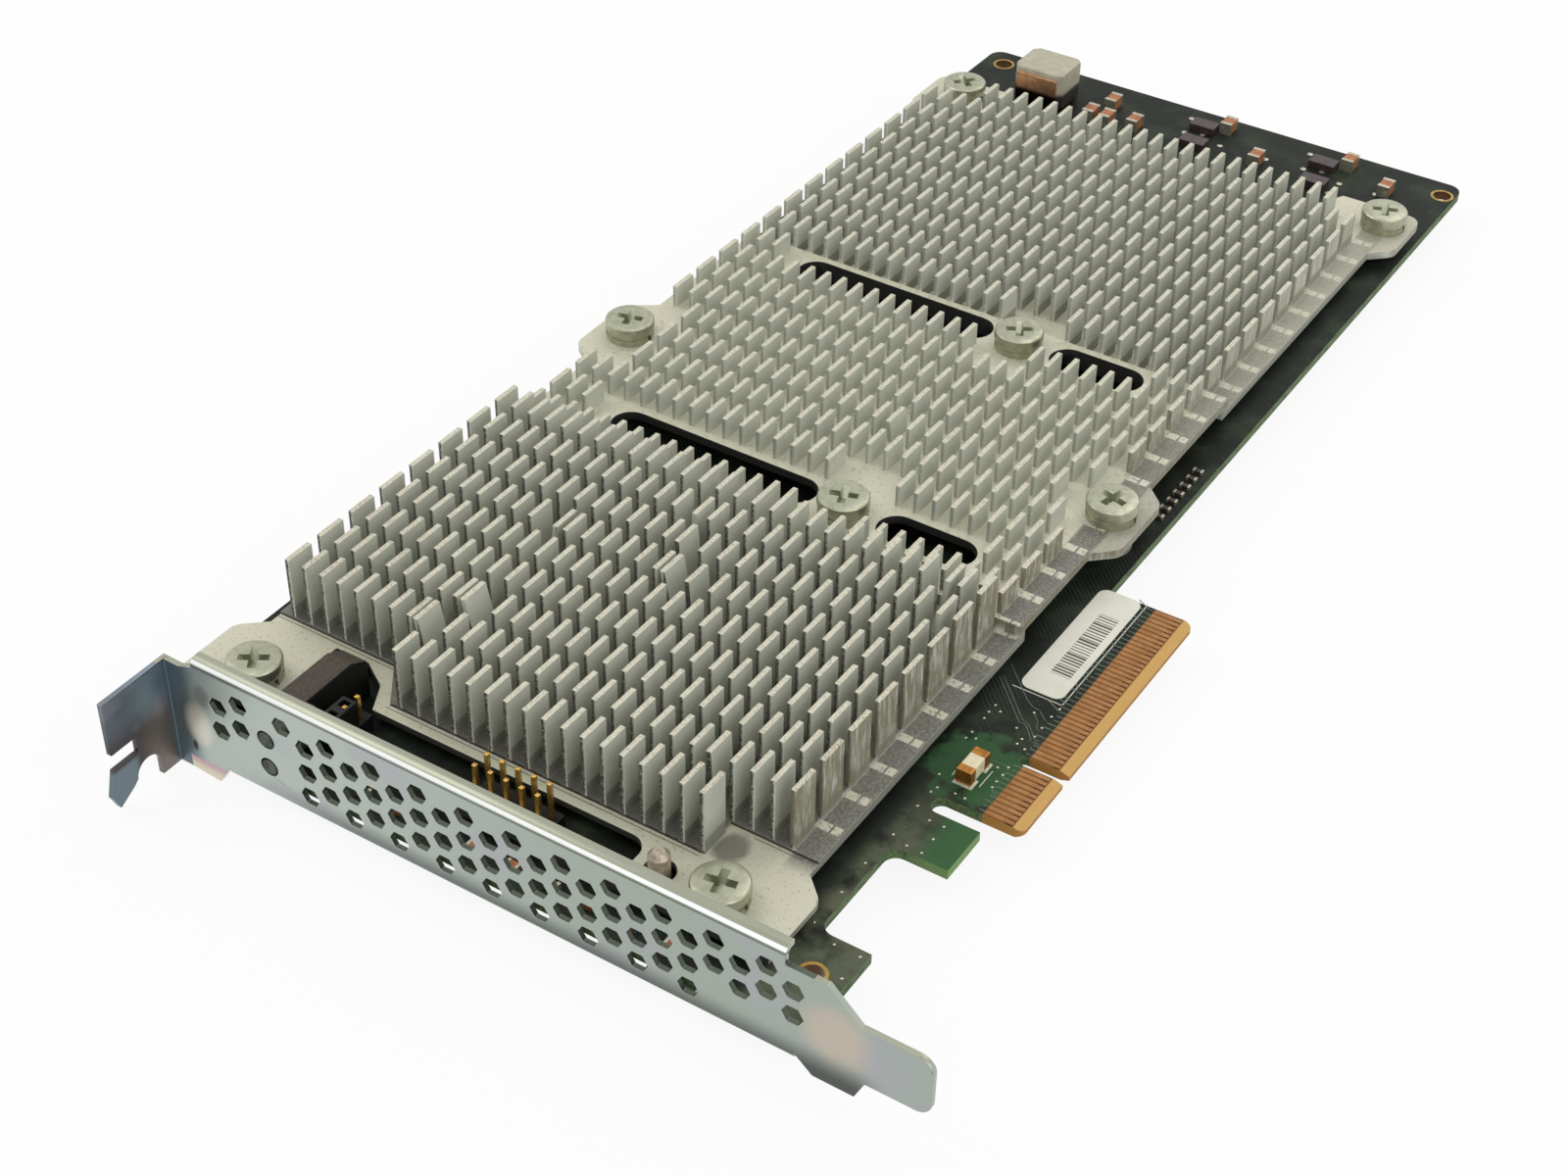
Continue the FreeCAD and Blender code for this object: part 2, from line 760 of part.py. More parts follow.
def fin_is_cast(x, y, row):
    """Whether the plate carries a fin at this place of the grid."""
    half = s.fin_length.number / 2
    lip_left = (plate_left + s.lip_left_run + s.lip_slant - s.fin_lip_margin).number
    lip_right = (plate_right - s.lip_right_run).number
    if row == 0 and not lip_left < x < lip_right:
        return False
    slot_row_numbers = [int(slot_row.number) for slot_row in slot_rows]
    margin = s.fin_slot_margin.number
    if row in slot_row_numbers and slot_left.number - margin < x < slot_right.number + margin:
        return False
    beside_web = any(abs(row - slot_row) == 1 for slot_row in slot_row_numbers)
    if beside_web and abs(x + s.slot_web_x.number) < s.fin_patch_width.number / 2:
        return False
    for screw_x, screw_y in side_screws + rear_screws:
        gap_y = max(abs(y - screw_y.number) - half, 0)
        if math.hypot(x - screw_x.number, gap_y) < s.fin_screw_clearance.number:
            return False
    return True


def make_fins():
    columns = int((plate_right - s.fin_right_margin - first_column).number / s.fin_pitch_x.number) + 1
    reach = plate_rear - s.fin_rear_margin - s.fin_length / 2 - first_row
    rows = int(reach.number / s.fin_pitch_y.number) + 1
    fins = []
    for row in range(rows):
        y = row_y(row)
        in_front = row < s.front_rows.number
        raised = front_step.number < y.number < rear_step.number
        root = (high_top if raised else low_top) - s.fin_root
        top = s.fin_front_top if in_front else s.fin_rear_top
        for column in range(columns):
            x = first_column + column * s.fin_pitch_x
            if not fin_is_cast(x.number, y.number, row):
                continue
            left, near = x - s.fin_thickness / 2, y - s.fin_length / 2
            right, far = x + s.fin_thickness / 2, y + s.fin_length / 2
            corners = [(left, near), (right, near), (right, far), (left, far), (left, near)]
            foot = Part.Face(Part.makePolygon([vector(*corner, root) for corner in corners]))
            lean = BENT_FINS.get((row, column), 0)
            fins.append(foot.extrude(vector(lean, 0, top - root)))
    group = doc.addObject("Part::Feature", "fins")
    group.Shape = Part.Compound(fins)
    return group


def make_heat_sink():
    return boolean("Part::Fuse", "heat_sink", make_heat_sink_plate(), make_fins())


# Fasteners

def make_screw_prototype(name, seat, tail):
    """A pan-head screw about Z, its head's underside at seat and its point at tail."""
    body = new_body(name)
    sketch = new_sketch(body, name + "_profile", "XZ_Plane", 0)
    head_top = seat + s.screw_head_height
    add_polygon(sketch, [
        (0, tail), (s.screw_radius, tail), (s.screw_radius, seat), (s.screw_head_radius, seat),
        (s.screw_head_crown, head_top), (0, head_top),
    ])
    turn = body.newObject("PartDesign::Revolution", name + "_turn")
    turn.Profile = sketch
    turn.ReferenceAxis = (sketch, ["V_Axis"])
    turn.Angle = 360
    return body


def make_screws():
    nut_tail = board_bottom - s.nut_height - s.screw_tail
    low = make_screw_prototype("low_screw", low_top + s.washer_thickness, nut_tail)
    front = make_screw_prototype("front_screw", low_top - s.lip_depth + s.washer_thickness, nut_tail)
    high = make_screw_prototype("high_screw", high_top + s.washer_thickness, nut_tail)
    doc.recompute()
    node = doc.addObject("Part::Feature", "heat_sink_screws")
    groups = ((front, front_screws), (low, rear_screws), (high, high_screws))
    node.Shape = Part.Compound([prototype.Shape.translated(vector(*place))
                                for prototype, places in groups for place in places])
    return node


def make_washers():
    """Split spring washers between the screw heads and the plate."""
    body = new_body("washer")
    sketch = new_sketch(body, "washer_ring", "XY_Plane", 0)
    add_circle(sketch, 0, 0, s.washer_radius)
    add_circle(sketch, 0, 0, screw_hole_radius)
    pad(body, sketch, s.washer_thickness)
    gap = new_sketch(body, "washer_split", "XY_Plane", s.washer_thickness)
    add_rectangle(gap, 0, s.washer_radius + s.washer_gap, -s.washer_gap / 2, s.washer_gap / 2)
    pocket(body, gap)
    seats = ((front_screws, low_top - s.lip_depth), (rear_screws, low_top), (high_screws, high_top))
    return copies("lock_washers", body, [(x, y, seat) for places, seat in seats for x, y in places])


def make_nuts():
    body = new_body("nut")
    sketch = new_sketch(body, "nut_ring", "XY_Plane", 0)
    corner = s.nut_flats / (2 * math.cos(math.pi / 6))
    turns = [math.radians(60 * index) for index in range(6)]
    add_polygon(sketch, [(corner * math.cos(turn), corner * math.sin(turn)) for turn in turns])
    add_circle(sketch, 0, 0, s.screw_radius)
    pad(body, sketch, s.nut_height)
    board_seat = board_bottom - s.nut_height
    lug_seat = lug_bottom - s.nut_height
    places = [(x, y, lug_seat) for x, y in front_screws]
    places += [(x, y, board_seat) for x, y in rear_screws + high_screws]
    return copies("board_nuts", body, places)


def make_locating_pin():
    body = new_body("locating_pin")
    sketch = new_sketch(body, "pin_profile", "XZ_Plane", 0)
    shoulder = s.pin_height - s.pin_crown
    add_polygon(sketch, [
        (0, board_bottom), (s.pin_radius, board_bottom), (s.pin_radius, shoulder),
        (s.pin_radius - s.pin_crown, s.pin_height), (0, s.pin_height),
    ])
    turn = body.newObject("PartDesign::Revolution", "pin_turn")
    turn.Profile = sketch
    turn.ReferenceAxis = (sketch, ["V_Axis"])
    turn.Angle = 360
    for axis, value in zip("xy", pin_place):
        body.setExpression("Placement.Base." + axis, value.text)
    return body


# Bracket

def make_bracket_sheet():
    """One folded sheet: vented face, top flange, lower lip with two lugs, screw tab and tongue."""
    body = new_body("bracket_sheet")
    thick = s.sheet_thickness
    flange_left = bracket_left + s.flange_left_run
    flange_right = -s.flange_right_edge
    foot_left = bracket_left + s.foot_left_run
    foot_right = bracket_left + s.foot_right_run
    foot_bottom = lip_bottom - s.foot_drop
    bulge_bottom = lip_bottom - s.bulge_drop
    face_top = s.bracket_top - s.flange_rise
    bend_top = s.bracket_top - s.bend_radius
    bend_bottom = lip_bottom + s.bend_radius
    face = new_sketch(body, "bracket_face", "XZ_Plane", -bracket_inner)
    tongue_corners = [(s.tongue_reach, s.tongue_top), (s.tongue_reach, -s.tongue_bottom)]
    add_polygon(face, [
        (bracket_left, -s.tab_bottom), (bracket_left, s.tab_top), (flange_left - s.flange_rise, face_top),
        (flange_left, bend_top), (flange_right, bend_top), (flange_right, s.shoulder_top),
        (-s.flange_rise / 2, s.shoulder_top), (s.tongue_root, s.tongue_top), *tongue_corners,
        (s.tongue_root + thick, -s.tongue_bottom), (s.bulge_right, bulge_bottom),
        (s.bend_radius * 2 - s.bulge_left, bulge_bottom), (-s.bulge_left, bend_bottom),
        (foot_right, bend_bottom), (foot_right - s.foot_drop, foot_bottom), (foot_left, -s.tab_bottom),
    ])
    pad(body, face, thick)

    flange = new_sketch(body, "bracket_flange", "YZ_Plane", flange_left)
    add_bend(flange, bracket_outer, s.bracket_top, s.flange_depth, s.bend_radius, thick, 1)
    pad(body, flange, flange_right - flange_left)

    lip = new_sketch(body, "bracket_lip", "YZ_Plane", foot_right)
    add_bend(lip, bracket_outer, lip_bottom, s.lip_return, s.bend_radius, thick, -1)
    pad(body, lip, -s.bulge_left - foot_right)

    lugs = new_sketch(body, "bracket_lugs", "XY_Plane", lug_bottom)
    for x, y in front_screws:
        add_rectangle(lugs, x - s.lug_width / 2, x + s.lug_width / 2, bracket_outer + thick / 2,
                      bracket_outer + s.lug_length)
    pad(body, lugs, thick)

    tab_front = bracket_outer - s.tab_depth
    arm_front = bracket_outer - s.tab_arm_depth
    waist = bracket_outer - s.tab_waist_depth
    notch_y = bracket_outer - s.tab_notch_depth
    notch_front, notch_rear = notch_y - s.tab_notch_radius, notch_y + s.tab_notch_radius
    tab = new_sketch(body, "bracket_tab", "YZ_Plane", bracket_left)
    add_polygon(tab, [
        (bracket_inner, s.tab_top), (tab_front, s.tab_top), (tab_front, s.tab_step), (waist, s.tab_step),
        (waist, s.tab_arm_top), (tab_front, s.tab_arm_top), (arm_front, -s.tab_notch_top),
        (tab_front, -s.tab_bottom), (notch_front - thick, -s.tab_bottom + thick * 2),
        (notch_front, -s.tab_notch_top),
        (notch_rear, -s.tab_notch_top), (notch_rear, -s.tab_bottom), (bracket_inner, -s.tab_bottom),
    ])
    pad(body, tab, thick)
    notch = new_sketch(body, "bracket_notch", "YZ_Plane", bracket_left + thick)
    add_circle(notch, notch_y, -s.tab_notch_top, s.tab_notch_radius)
    pocket(body, notch, thick)

    lamps = new_sketch(body, "bracket_lamps", "XZ_Plane", -bracket_outer)
    for z in (s.lamp_upper_z, s.lamp_lower_z):
        add_circle(lamps, lamp_x, z, s.lamp_hole_radius)
    pocket(body, lamps, thick)

    holes = new_sketch(body, "lug_holes", "XY_Plane", board_bottom)
    for x, y in front_screws:
        add_circle(holes, x, y, screw_hole_radius)
    pocket(body, holes, thick)

    round_edges(body, "tongue_corners", 1, tongue_corners, s.tongue_tip_radius)
    return body


# Rows of vents as (row, first column, last column), every other column of a staggered grid
VENT_RUNS = [
    (0, 0, 22), (1, -1, -1), (1, 3, 23), (2, 0, 0), (2, 4, 22), (3, -1, -1), (3, 3, 23),
    (4, 4, 18), (5, 3, 19),
]


def make_vents():
    """Hexagonal cutters through the bracket's face."""
    corner = s.vent_width.number / (2 * math.cos(math.pi / 6))
    depth = (s.sheet_thickness * 3).number
    cutters = []
    for row, first, last in VENT_RUNS:
        z = s.bracket_top - s.vent_top_margin - row * s.vent_pitch_z
        for column in range(first, last + 1, 2):
            x = bracket_left + s.vent_left_run + column * s.vent_pitch_x
            if x.number > -s.vent_right_edge.number:
                continue
            middle = vector(x, bracket_outer - s.sheet_thickness, z)
            points = []
            for index in range(7):
                turn = math.radians(60 * index)
                points.append(middle + FreeCAD.Vector(corner * math.cos(turn), 0, corner * math.sin(turn)))
            cutters.append(Part.Face(Part.makePolygon(points)).extrude(FreeCAD.Vector(0, depth, 0)))
    group = doc.addObject("Part::Feature", "vents")
    group.Shape = Part.Compound(cutters)
    return group


def make_bracket():
    return boolean("Part::Cut", "bracket", make_bracket_sheet(), make_vents())


# Status lamps

def make_lamp_housing():
    """A moulded block, wider where it faces the lamps, with its top sloped down at the rear."""
    body = new_body("lamp_housing")
    middle = lamp_x - s.housing_shift
    left, right = middle - s.housing_width / 2, middle + s.housing_width / 2
    front = bracket_inner + s.housing_front_gap
    rear = front + s.housing_length
    top = s.housing_height
    lamp_right = lamp_x + s.lamp_hole_radius
    step = front + s.housing_lamp_depth
    plan = new_sketch(body, "housing_plan", "XY_Plane", 0)
    add_polygon(plan, [(left, front), (lamp_right, front), (lamp_right, step), (right, step),
                       (right, rear), (left, rear)])
    pad(body, plan, top)
    slope = new_sketch(body, "housing_slope", "YZ_Plane", right)
    add_polygon(slope, [(rear, top - s.housing_slope_drop), (rear, top), (rear - s.housing_slope_run, top)])
    pocket(body, slope)
    return body


def make_light_pipes():
    radius = s.lamp_hole_radius - s.lamp_clearance
    length = s.housing_front_gap + s.sheet_thickness
    pipes = []
    for z in (s.lamp_upper_z, s.lamp_lower_z):
        pipes.append(Part.makeCylinder(radius.number, length.number, vector(lamp_x, bracket_outer, z),
                                       FreeCAD.Vector(0, 1, 0)))
    node = doc.addObject("Part::Feature", "light_pipes")
    node.Shape = Part.Compound(pipes)
    return node


# Pin headers

def header_places():
    y = -(s.board_front - s.header_inset)
    for column in range(int(s.header_columns.number)):
        for row in (0, 1):
            yield (-s.header_x + column * s.header_pitch, y + row * s.header_pitch)


def make_header_pins(name, places, top):
    return boxes(name, [(x, y, s.header_pin_width, s.header_pin_width, 0, top) for x, y in places])


def make_header_base(name, places):
    """A moulded strip with a square hole for each pin."""
    xs = [x for x, y in places]
    ys = [y for x, y in places]
    half = s.header_pitch / 2
    body = new_body(name)
    sketch = new_sketch(body, name + "_plan", "XY_Plane", 0)
    add_rectangle(sketch, xs[0] - half, xs[-1] + half, ys[0] - half, ys[-1] + half)
    pin_half = s.header_pin_width / 2
    for x, y in places:
        add_rectangle(sketch, x - pin_half, x + pin_half, y - pin_half, y + pin_half)
    pad(body, sketch, s.header_base_height)
    return body


def jumper_places():
    x = board_left + s.jumper_inset
    y = -(s.board_front - s.jumper_front_inset)
    return [(x, y + index * s.header_pitch) for index in range(int(s.jumper_count.number))]


def make_jumper_shunt():
    """A small cap over the two front jumper pins, open at its top round the pin tips."""
    places = jumper_places()[:2]
    half = s.header_pin_width / 2
    wall = s.shunt_wall
    body = new_body("jumper_shunt")
    sketch = new_sketch(body, "shunt_plan", "XY_Plane", s.shunt_bottom)
    x = places[0][0]
    front, rear = places[0][1], places[1][1]
    add_rectangle(sketch, x - half - wall, x + half + wall, front - half - wall, rear + half + wall)
    for place_x, place_y in places:
        add_rectangle(sketch, place_x - half, place_x + half, place_y - half, place_y + half)
    pad(body, sketch, s.shunt_height)
    window = s.shunt_window / 2
    windows = new_sketch(body, "shunt_windows", "XY_Plane", s.shunt_bottom + s.shunt_height)
    for place_x, place_y in places:
        add_rectangle(windows, place_x - window, place_x + window, place_y - window, place_y + window)
    pocket(body, windows, s.shunt_window_depth)
    return body


# Power parts

def inductor_span():
    x = board_left + s.inductor_inset
    y = s.board_rear - s.inductor_rear_inset
    return x, x + s.inductor_width, y - s.inductor_depth, y


def make_power_inductor():
    x0, x1, y0, y1 = inductor_span()
    body = new_body("power_inductor")
    sketch = new_sketch(body, "inductor_plan", "XY_Plane", s.inductor_foot)
    cut = s.inductor_chamfer
    add_polygon(sketch, [
        (x0 + cut, y0), (x1 - cut, y0), (x1, y0 + cut), (x1, y1 - cut),
        (x1 - cut, y1), (x0 + cut, y1), (x0, y1 - cut), (x0, y0 + cut),
    ])
    pad(body, sketch, s.inductor_height - s.inductor_foot)
    return body


def make_inductor_straps():
    """Copper ends that fold under the core and stand on the board, front and rear."""
    x0, x1, y0, y1 = inductor_span()
    middle = (x0 + x1) / 2
    left = middle - s.strap_width / 2
    thick = s.strap_thickness
    foot = s.inductor_foot
    rise = s.inductor_height - s.inductor_chamfer
    run = s.inductor_depth / 4
    body = new_body("inductor_straps")
    sketch = new_sketch(body, "strap_side", "YZ_Plane", left)
    add_polygon(sketch, [(y0 - thick, 0), (y0 + run, 0), (y0 + run, foot), (y0, foot), (y0, rise),
                         (y0 - thick, rise)])
    pad(body, sketch, s.strap_width)
    rear = doc.addObject("Part::Mirroring", "rear_strap")
    rear.Source = body
    rear.Normal = FreeCAD.Vector(0, 1, 0)
    rear.setExpression("Base.y", ((y0 + y1) / 2).text)
    doc.recompute()
    node = doc.addObject("Part::Feature", "inductor_terminals")
    node.Shape = Part.Compound([body.Shape, rear.Shape])
    return node


# Fuse and label

def fuse_span():
    half_width, half_length = s.fuse_width / 2, s.fuse_length / 2
    return -s.fuse_x - half_width, -s.fuse_x + half_width, -s.fuse_y - half_length, -s.fuse_y + half_length


def make_fuse_body():
    x0, x1, y0, y1 = fuse_span()
    wall = s.fuse_cap_wall
    cap = s.fuse_cap_length
    return new_box("fuse_body", x0 + wall, x1 - wall, y0 + cap, y1 - cap, wall, s.fuse_height - wall)


def make_fuse_caps():
    x0, x1, y0, y1 = fuse_span()
    cap = s.fuse_cap_length
    middle = (x0 + x1) / 2
    return boxes("fuse_caps", [(middle, y, s.fuse_width, cap, 0, s.fuse_height)
                               for y in (y0 + cap / 2, y1 - cap / 2)])


def make_label():
    body = new_body("label")
    sketch = new_sketch(body, "label_plan", "XY_Plane", 0)
    x0, x1 = -s.label_x - s.label_width / 2, -s.label_x + s.label_width / 2
    y0, y1 = s.label_y - s.label_length / 2, s.label_y + s.label_length / 2
    add_rectangle(sketch, x0, x1, y0, y1)
    pad(body, sketch, s.label_thickness)
    round_edges(body, "label_corners", 2, [(x, y) for x in (x0, x1) for y in (y0, y1)], s.label_radius)
    return body


# Chips under the heat sink, on the solder side and along the edges

def flash_places():
    """Two rows under the front of the plate and two under its rear."""
    step_x = s.flash_width + s.flash_gap
    step_y = s.flash_length + s.flash_gap
    columns = int(s.flash_columns.number)
    middle_x = (plate_left + plate_right) / 2
    front_y = plate_front + s.lip_setback + s.flash_length / 2 + s.flash_gap / 2
    rear_y = rear_step + s.flash_length / 2 + s.flash_gap / 2
    for start in (front_y, rear_y):
        for row in (0, 1):
            for column in range(columns):
                yield middle_x + (column - (columns - 1) / 2) * step_x, start + row * step_y


def make_flash_chips():
    return boxes("flash_chips", [(x, y, s.flash_width, s.flash_length, 0, s.flash_height)
                                 for x, y in flash_places()])


def make_flash_pads():
    return boxes("flash_pads", [(x, y, s.flash_width, s.flash_length, s.flash_height, s.plate_clearance)
                                for x, y in flash_places()])


def make_back_flash_chips():
    return boxes("back_flash_chips", [(x, y, s.flash_width, s.flash_length,
                                       board_bottom - s.flash_height, board_bottom)
                                      for x, y in flash_places()])


def controller_place():
    return -s.slot_web_x, (slot_ys[0] + slot_ys[1]) / 2


def make_controller_chip():
    x, y = controller_place()
    half = s.controller_width / 2
    return new_box("controller_chip", x - half, x + half, y - half, y + half, 0, s.controller_height)


def make_controller_pad():
    x, y = controller_place()
    half = s.controller_width / 2
    return new_box("controller_pad", x - half, x + half, y - half, y + half, s.controller_height,
                   high_bottom)


def make_memory_chips():
    x, y = controller_place()
    column = x - s.controller_width / 2 - s.memory_gap - s.memory_width / 2
    step = (s.memory_length + s.memory_gap) / 2
    return boxes("memory_chips", [(column, y + side * step, s.memory_width, s.memory_length, 0,
                                   s.memory_height) for side in (-1, 1)])


# Small parts behind the plate: distance from the board's left edge, distance from its rear edge
CAPACITOR_PLACES = [(30.2, 8.3), (28.5, 14.5), (32.0, 14.7), (37.2, 13.4), (52.6, 4.4), (62.0, 12.8),
                    (77.2, 4.6), (86.4, 9.8)]
CHOKE_PLACES = [(48.6, 6.6), (49.5, 13.3), (73.1, 7.1), (74.2, 14.3)]


def behind_plate(places):
    return [(board_left + dim(inset), s.board_rear - dim(rear)) for inset, rear in places]


def make_rear_capacitors():
    return boxes("rear_capacitors", [(x, y, s.passive_width, s.passive_length, 0, s.passive_height)
                                     for x, y in behind_plate(CAPACITOR_PLACES)])


def make_rear_chokes():
    return boxes("rear_chokes", [(x, y, s.choke_width, s.choke_length, 0, s.choke_height)
                                 for x, y in behind_plate(CHOKE_PLACES)])


def make_side_parts():
    """A row of small chip parts on the lower edge, between the side ear and the rear ear."""
    x = (plate_right - s.board_lower_edge) / 2
    start = ear_y + s.ear_reach + s.ear_slant
    count = int(s.side_part_count.number)
    return boxes("side_chip_parts", [(x, start + index * s.side_part_pitch, s.side_part_length,
                                      s.side_part_width, 0, s.side_part_height) for index in range(count)])


def make_front_parts():
    """A row of chip parts on the strip of board between the bracket and the plate."""
    y = (plate_front - s.board_front) / 2
    count = int(s.front_part_count.number)
    xs = [-s.front_part_x + index * s.front_part_pitch for index in range(count)]
    return boxes("front_chip_parts", [(x, y, s.front_part_length, s.front_part_width, 0, s.front_part_height)
                                      for x in xs])


header_pins = list(header_places())
nodes = [
    make_circuit_board(),
    make_edge_contacts(),
    make_heat_sink(),
    make_screws(),
    make_washers(),
    make_nuts(),
    make_locating_pin(),
    make_bracket(),
    make_lamp_housing(),
    make_light_pipes(),
    make_header_base("test_header", header_pins),
    make_header_pins("test_header_pins", header_pins, s.header_pin_top),
    make_header_base("jumper_header", jumper_places()),
    make_header_pins("jumper_pins", jumper_places(), s.jumper_pin_top),
    make_jumper_shunt(),
    make_power_inductor(),
    make_inductor_straps(),
    make_fuse_body(),
    make_fuse_caps(),
    make_label(),
    make_controller_chip(),
    make_controller_pad(),
    make_memory_chips(),
    make_flash_chips(),
    make_flash_pads(),
    make_back_flash_chips(),
    make_rear_capacitors(),
    make_rear_chokes(),
    make_side_parts(),
    make_front_parts(),
]
doc.recompute()

for item in doc.Objects:
    if "Invalid" in item.State or "Error" in item.State:
        raise RuntimeError("%s did not build: %s" % (item.Name, item.State))
for node in nodes:
    if node.Shape.isNull() or not node.Shape.isValid():
        raise RuntimeError("%s has no valid shape" % node.Label)

os.makedirs("parts", exist_ok=True)
for node in nodes:
    node.Shape.exportStep("parts/%s.step" % node.Label)
    print("%-20s %3d solids %10.1f mm3" % (node.Label, len(node.Shape.Solids), node.Shape.Volume))
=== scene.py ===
import json
import math
import random

import bmesh
import bpy
from mathutils import Matrix, Vector


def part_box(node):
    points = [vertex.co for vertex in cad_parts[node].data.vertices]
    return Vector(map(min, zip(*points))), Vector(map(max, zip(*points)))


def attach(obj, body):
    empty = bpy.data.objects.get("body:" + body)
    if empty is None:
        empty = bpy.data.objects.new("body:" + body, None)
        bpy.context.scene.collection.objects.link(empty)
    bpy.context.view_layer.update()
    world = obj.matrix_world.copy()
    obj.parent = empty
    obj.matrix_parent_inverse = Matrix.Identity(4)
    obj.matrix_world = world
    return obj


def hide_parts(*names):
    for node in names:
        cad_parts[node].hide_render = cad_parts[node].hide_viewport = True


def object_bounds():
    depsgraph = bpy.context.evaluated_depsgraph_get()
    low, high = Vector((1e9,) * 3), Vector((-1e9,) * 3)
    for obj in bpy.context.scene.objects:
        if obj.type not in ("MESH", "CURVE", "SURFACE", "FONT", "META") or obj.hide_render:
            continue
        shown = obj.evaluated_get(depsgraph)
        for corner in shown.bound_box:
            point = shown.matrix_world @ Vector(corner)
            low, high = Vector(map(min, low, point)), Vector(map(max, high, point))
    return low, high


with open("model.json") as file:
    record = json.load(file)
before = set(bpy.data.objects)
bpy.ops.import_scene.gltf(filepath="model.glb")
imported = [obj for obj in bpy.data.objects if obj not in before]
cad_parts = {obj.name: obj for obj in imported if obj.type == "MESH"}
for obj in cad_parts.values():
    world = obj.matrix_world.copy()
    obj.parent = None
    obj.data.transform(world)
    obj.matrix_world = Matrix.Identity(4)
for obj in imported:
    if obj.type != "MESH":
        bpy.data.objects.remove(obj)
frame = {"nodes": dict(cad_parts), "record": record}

mm = 0.001
bumpStrength = 0.5
nodes = frame["nodes"]
cadLow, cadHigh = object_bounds()
print("frame loaded with", len(nodes), "nodes")


# a screen colour as linear values
def tone(red, green, blue):
    linear = [(c / 255 / 12.92) if c < 11 else ((c / 255 + 0.055) / 1.055) ** 2.4 for c in (red, green, blue)]
    return (*linear, 1.0)


# a socket that can be used in sums: each sum adds a Math node
class Signal:
    def __init__(self, finish, socket):
        self.finish = finish
        self.socket = socket

    def sum(self, operation, first, second=0.0):
        return self.finish.node("ShaderNodeMath", {"operation": operation}, {0: first, 1: second})

    def __add__(self, other): return self.sum("ADD", self, other)
    def __radd__(self, other): return self.sum("ADD", other, self)
    def __sub__(self, other): return self.sum("SUBTRACT", self, other)
    def __rsub__(self, other): return self.sum("SUBTRACT", other, self)
    def __mul__(self, other): return self.sum("MULTIPLY", self, other)
    def __rmul__(self, other): return self.sum("MULTIPLY", other, self)
    def __truediv__(self, other): return self.sum("DIVIDE", self, other)
    def __rtruediv__(self, other): return self.sum("DIVIDE", other, self)
    def __mod__(self, other): return self.sum("FLOORED_MODULO", self, other)
    def __gt__(self, other): return self.sum("GREATER_THAN", self, other)
    def __lt__(self, other): return self.sum("LESS_THAN", self, other)
    def __abs__(self): return self.sum("ABSOLUTE", self)


# one material and the nodes in it
class Finish:
    def __init__(self, name, world=None):
        self.material = world or bpy.data.materials.new(name)
        self.material.use_nodes = True
        self.tree = self.material.node_tree
        self.tree.nodes.clear()
        if not world:
            self.spot = self.node("ShaderNodeTexCoord", output="Object")
            self.x, self.y, self.z = (self.node("ShaderNodeSeparateXYZ", sockets={0: self.spot}, output=axis)
                                      for axis in "XYZ")

    def node(self, kind, settings=None, sockets=None, output=0):
        made = self.tree.nodes.new(kind)
        for key, value in (settings or {}).items():
            setattr(made, key, value)
        for key, value in (sockets or {}).items():
            if isinstance(value, Signal):
                self.tree.links.new(value.socket, made.inputs[key])
            else:
                made.inputs[key].default_value = value
        return Signal(self, made.outputs[output]) if len(made.outputs) else made

    # 0 below low, 1 above high, smooth between
    def rise(self, value, low, high):
        return self.node("ShaderNodeMapRange", {"interpolation_type": "SMOOTHSTEP"},
                         {0: value, 1: low, 2: high, 3: 0.0, 4: 1.0})

    # cloudy noise, with grain as the size of its clouds in millimetres
    def cloud(self, grain, detail=3.0, roughness=0.6, stretch=(1, 1, 1)):
        place = self.node("ShaderNodeVectorMath", {"operation": "MULTIPLY"}, {0: self.spot, 1: stretch})
        return self.node("ShaderNodeTexNoise", {}, {"Vector": place, "Scale": 1 / (grain * mm), "Detail": detail,
                                                    "Roughness": roughness})

    def blend(self, share, first, second):
        return self.node("ShaderNodeMix", {"data_type": "RGBA"}, {0: share, 6: first, 7: second}, 2)

    # a base value, and what is added to it where a mask is 1
    def gain(self, pair, mask):
        return pair[0] + pair[1] * mask

    def facing(self, axis):
        normal = self.node("ShaderNodeNewGeometry", output="Normal")
        return self.node("ShaderNodeSeparateXYZ", sockets={0: normal}, output=axis)

    def close(self, colour, roughness, metallic, bumps=None, bumpDepth=0.02, coat=0.0, specular=0.5):
        sockets = {"Base Color": colour, "Roughness": roughness, "Metallic": metallic, "Coat Weight": coat,
                   "Specular IOR Level": specular}
        if bumps is not None:
            bump = {"Height": bumps, "Strength": bumpStrength, "Distance": bumpDepth * mm}
            sockets["Normal"] = self.node("ShaderNodeBump", {}, bump)
        shader = self.node("ShaderNodeBsdfPrincipled", {}, sockets)
        self.node("ShaderNodeOutputMaterial", {}, {"Surface": shader})
        return self.material


# two tones in a cloud, for the small parts, with painted shade on the sides or near the board where given
mottleLook = {
    "share": (0.35, 0.68),
    "sideFacing": (0.8, 0.5),
    "footFade": (1.15, 0.85),
    "roughSpread": 0.2,
    "bumpGrain": 0.3,
    "bumpDepth": 0.015,
}


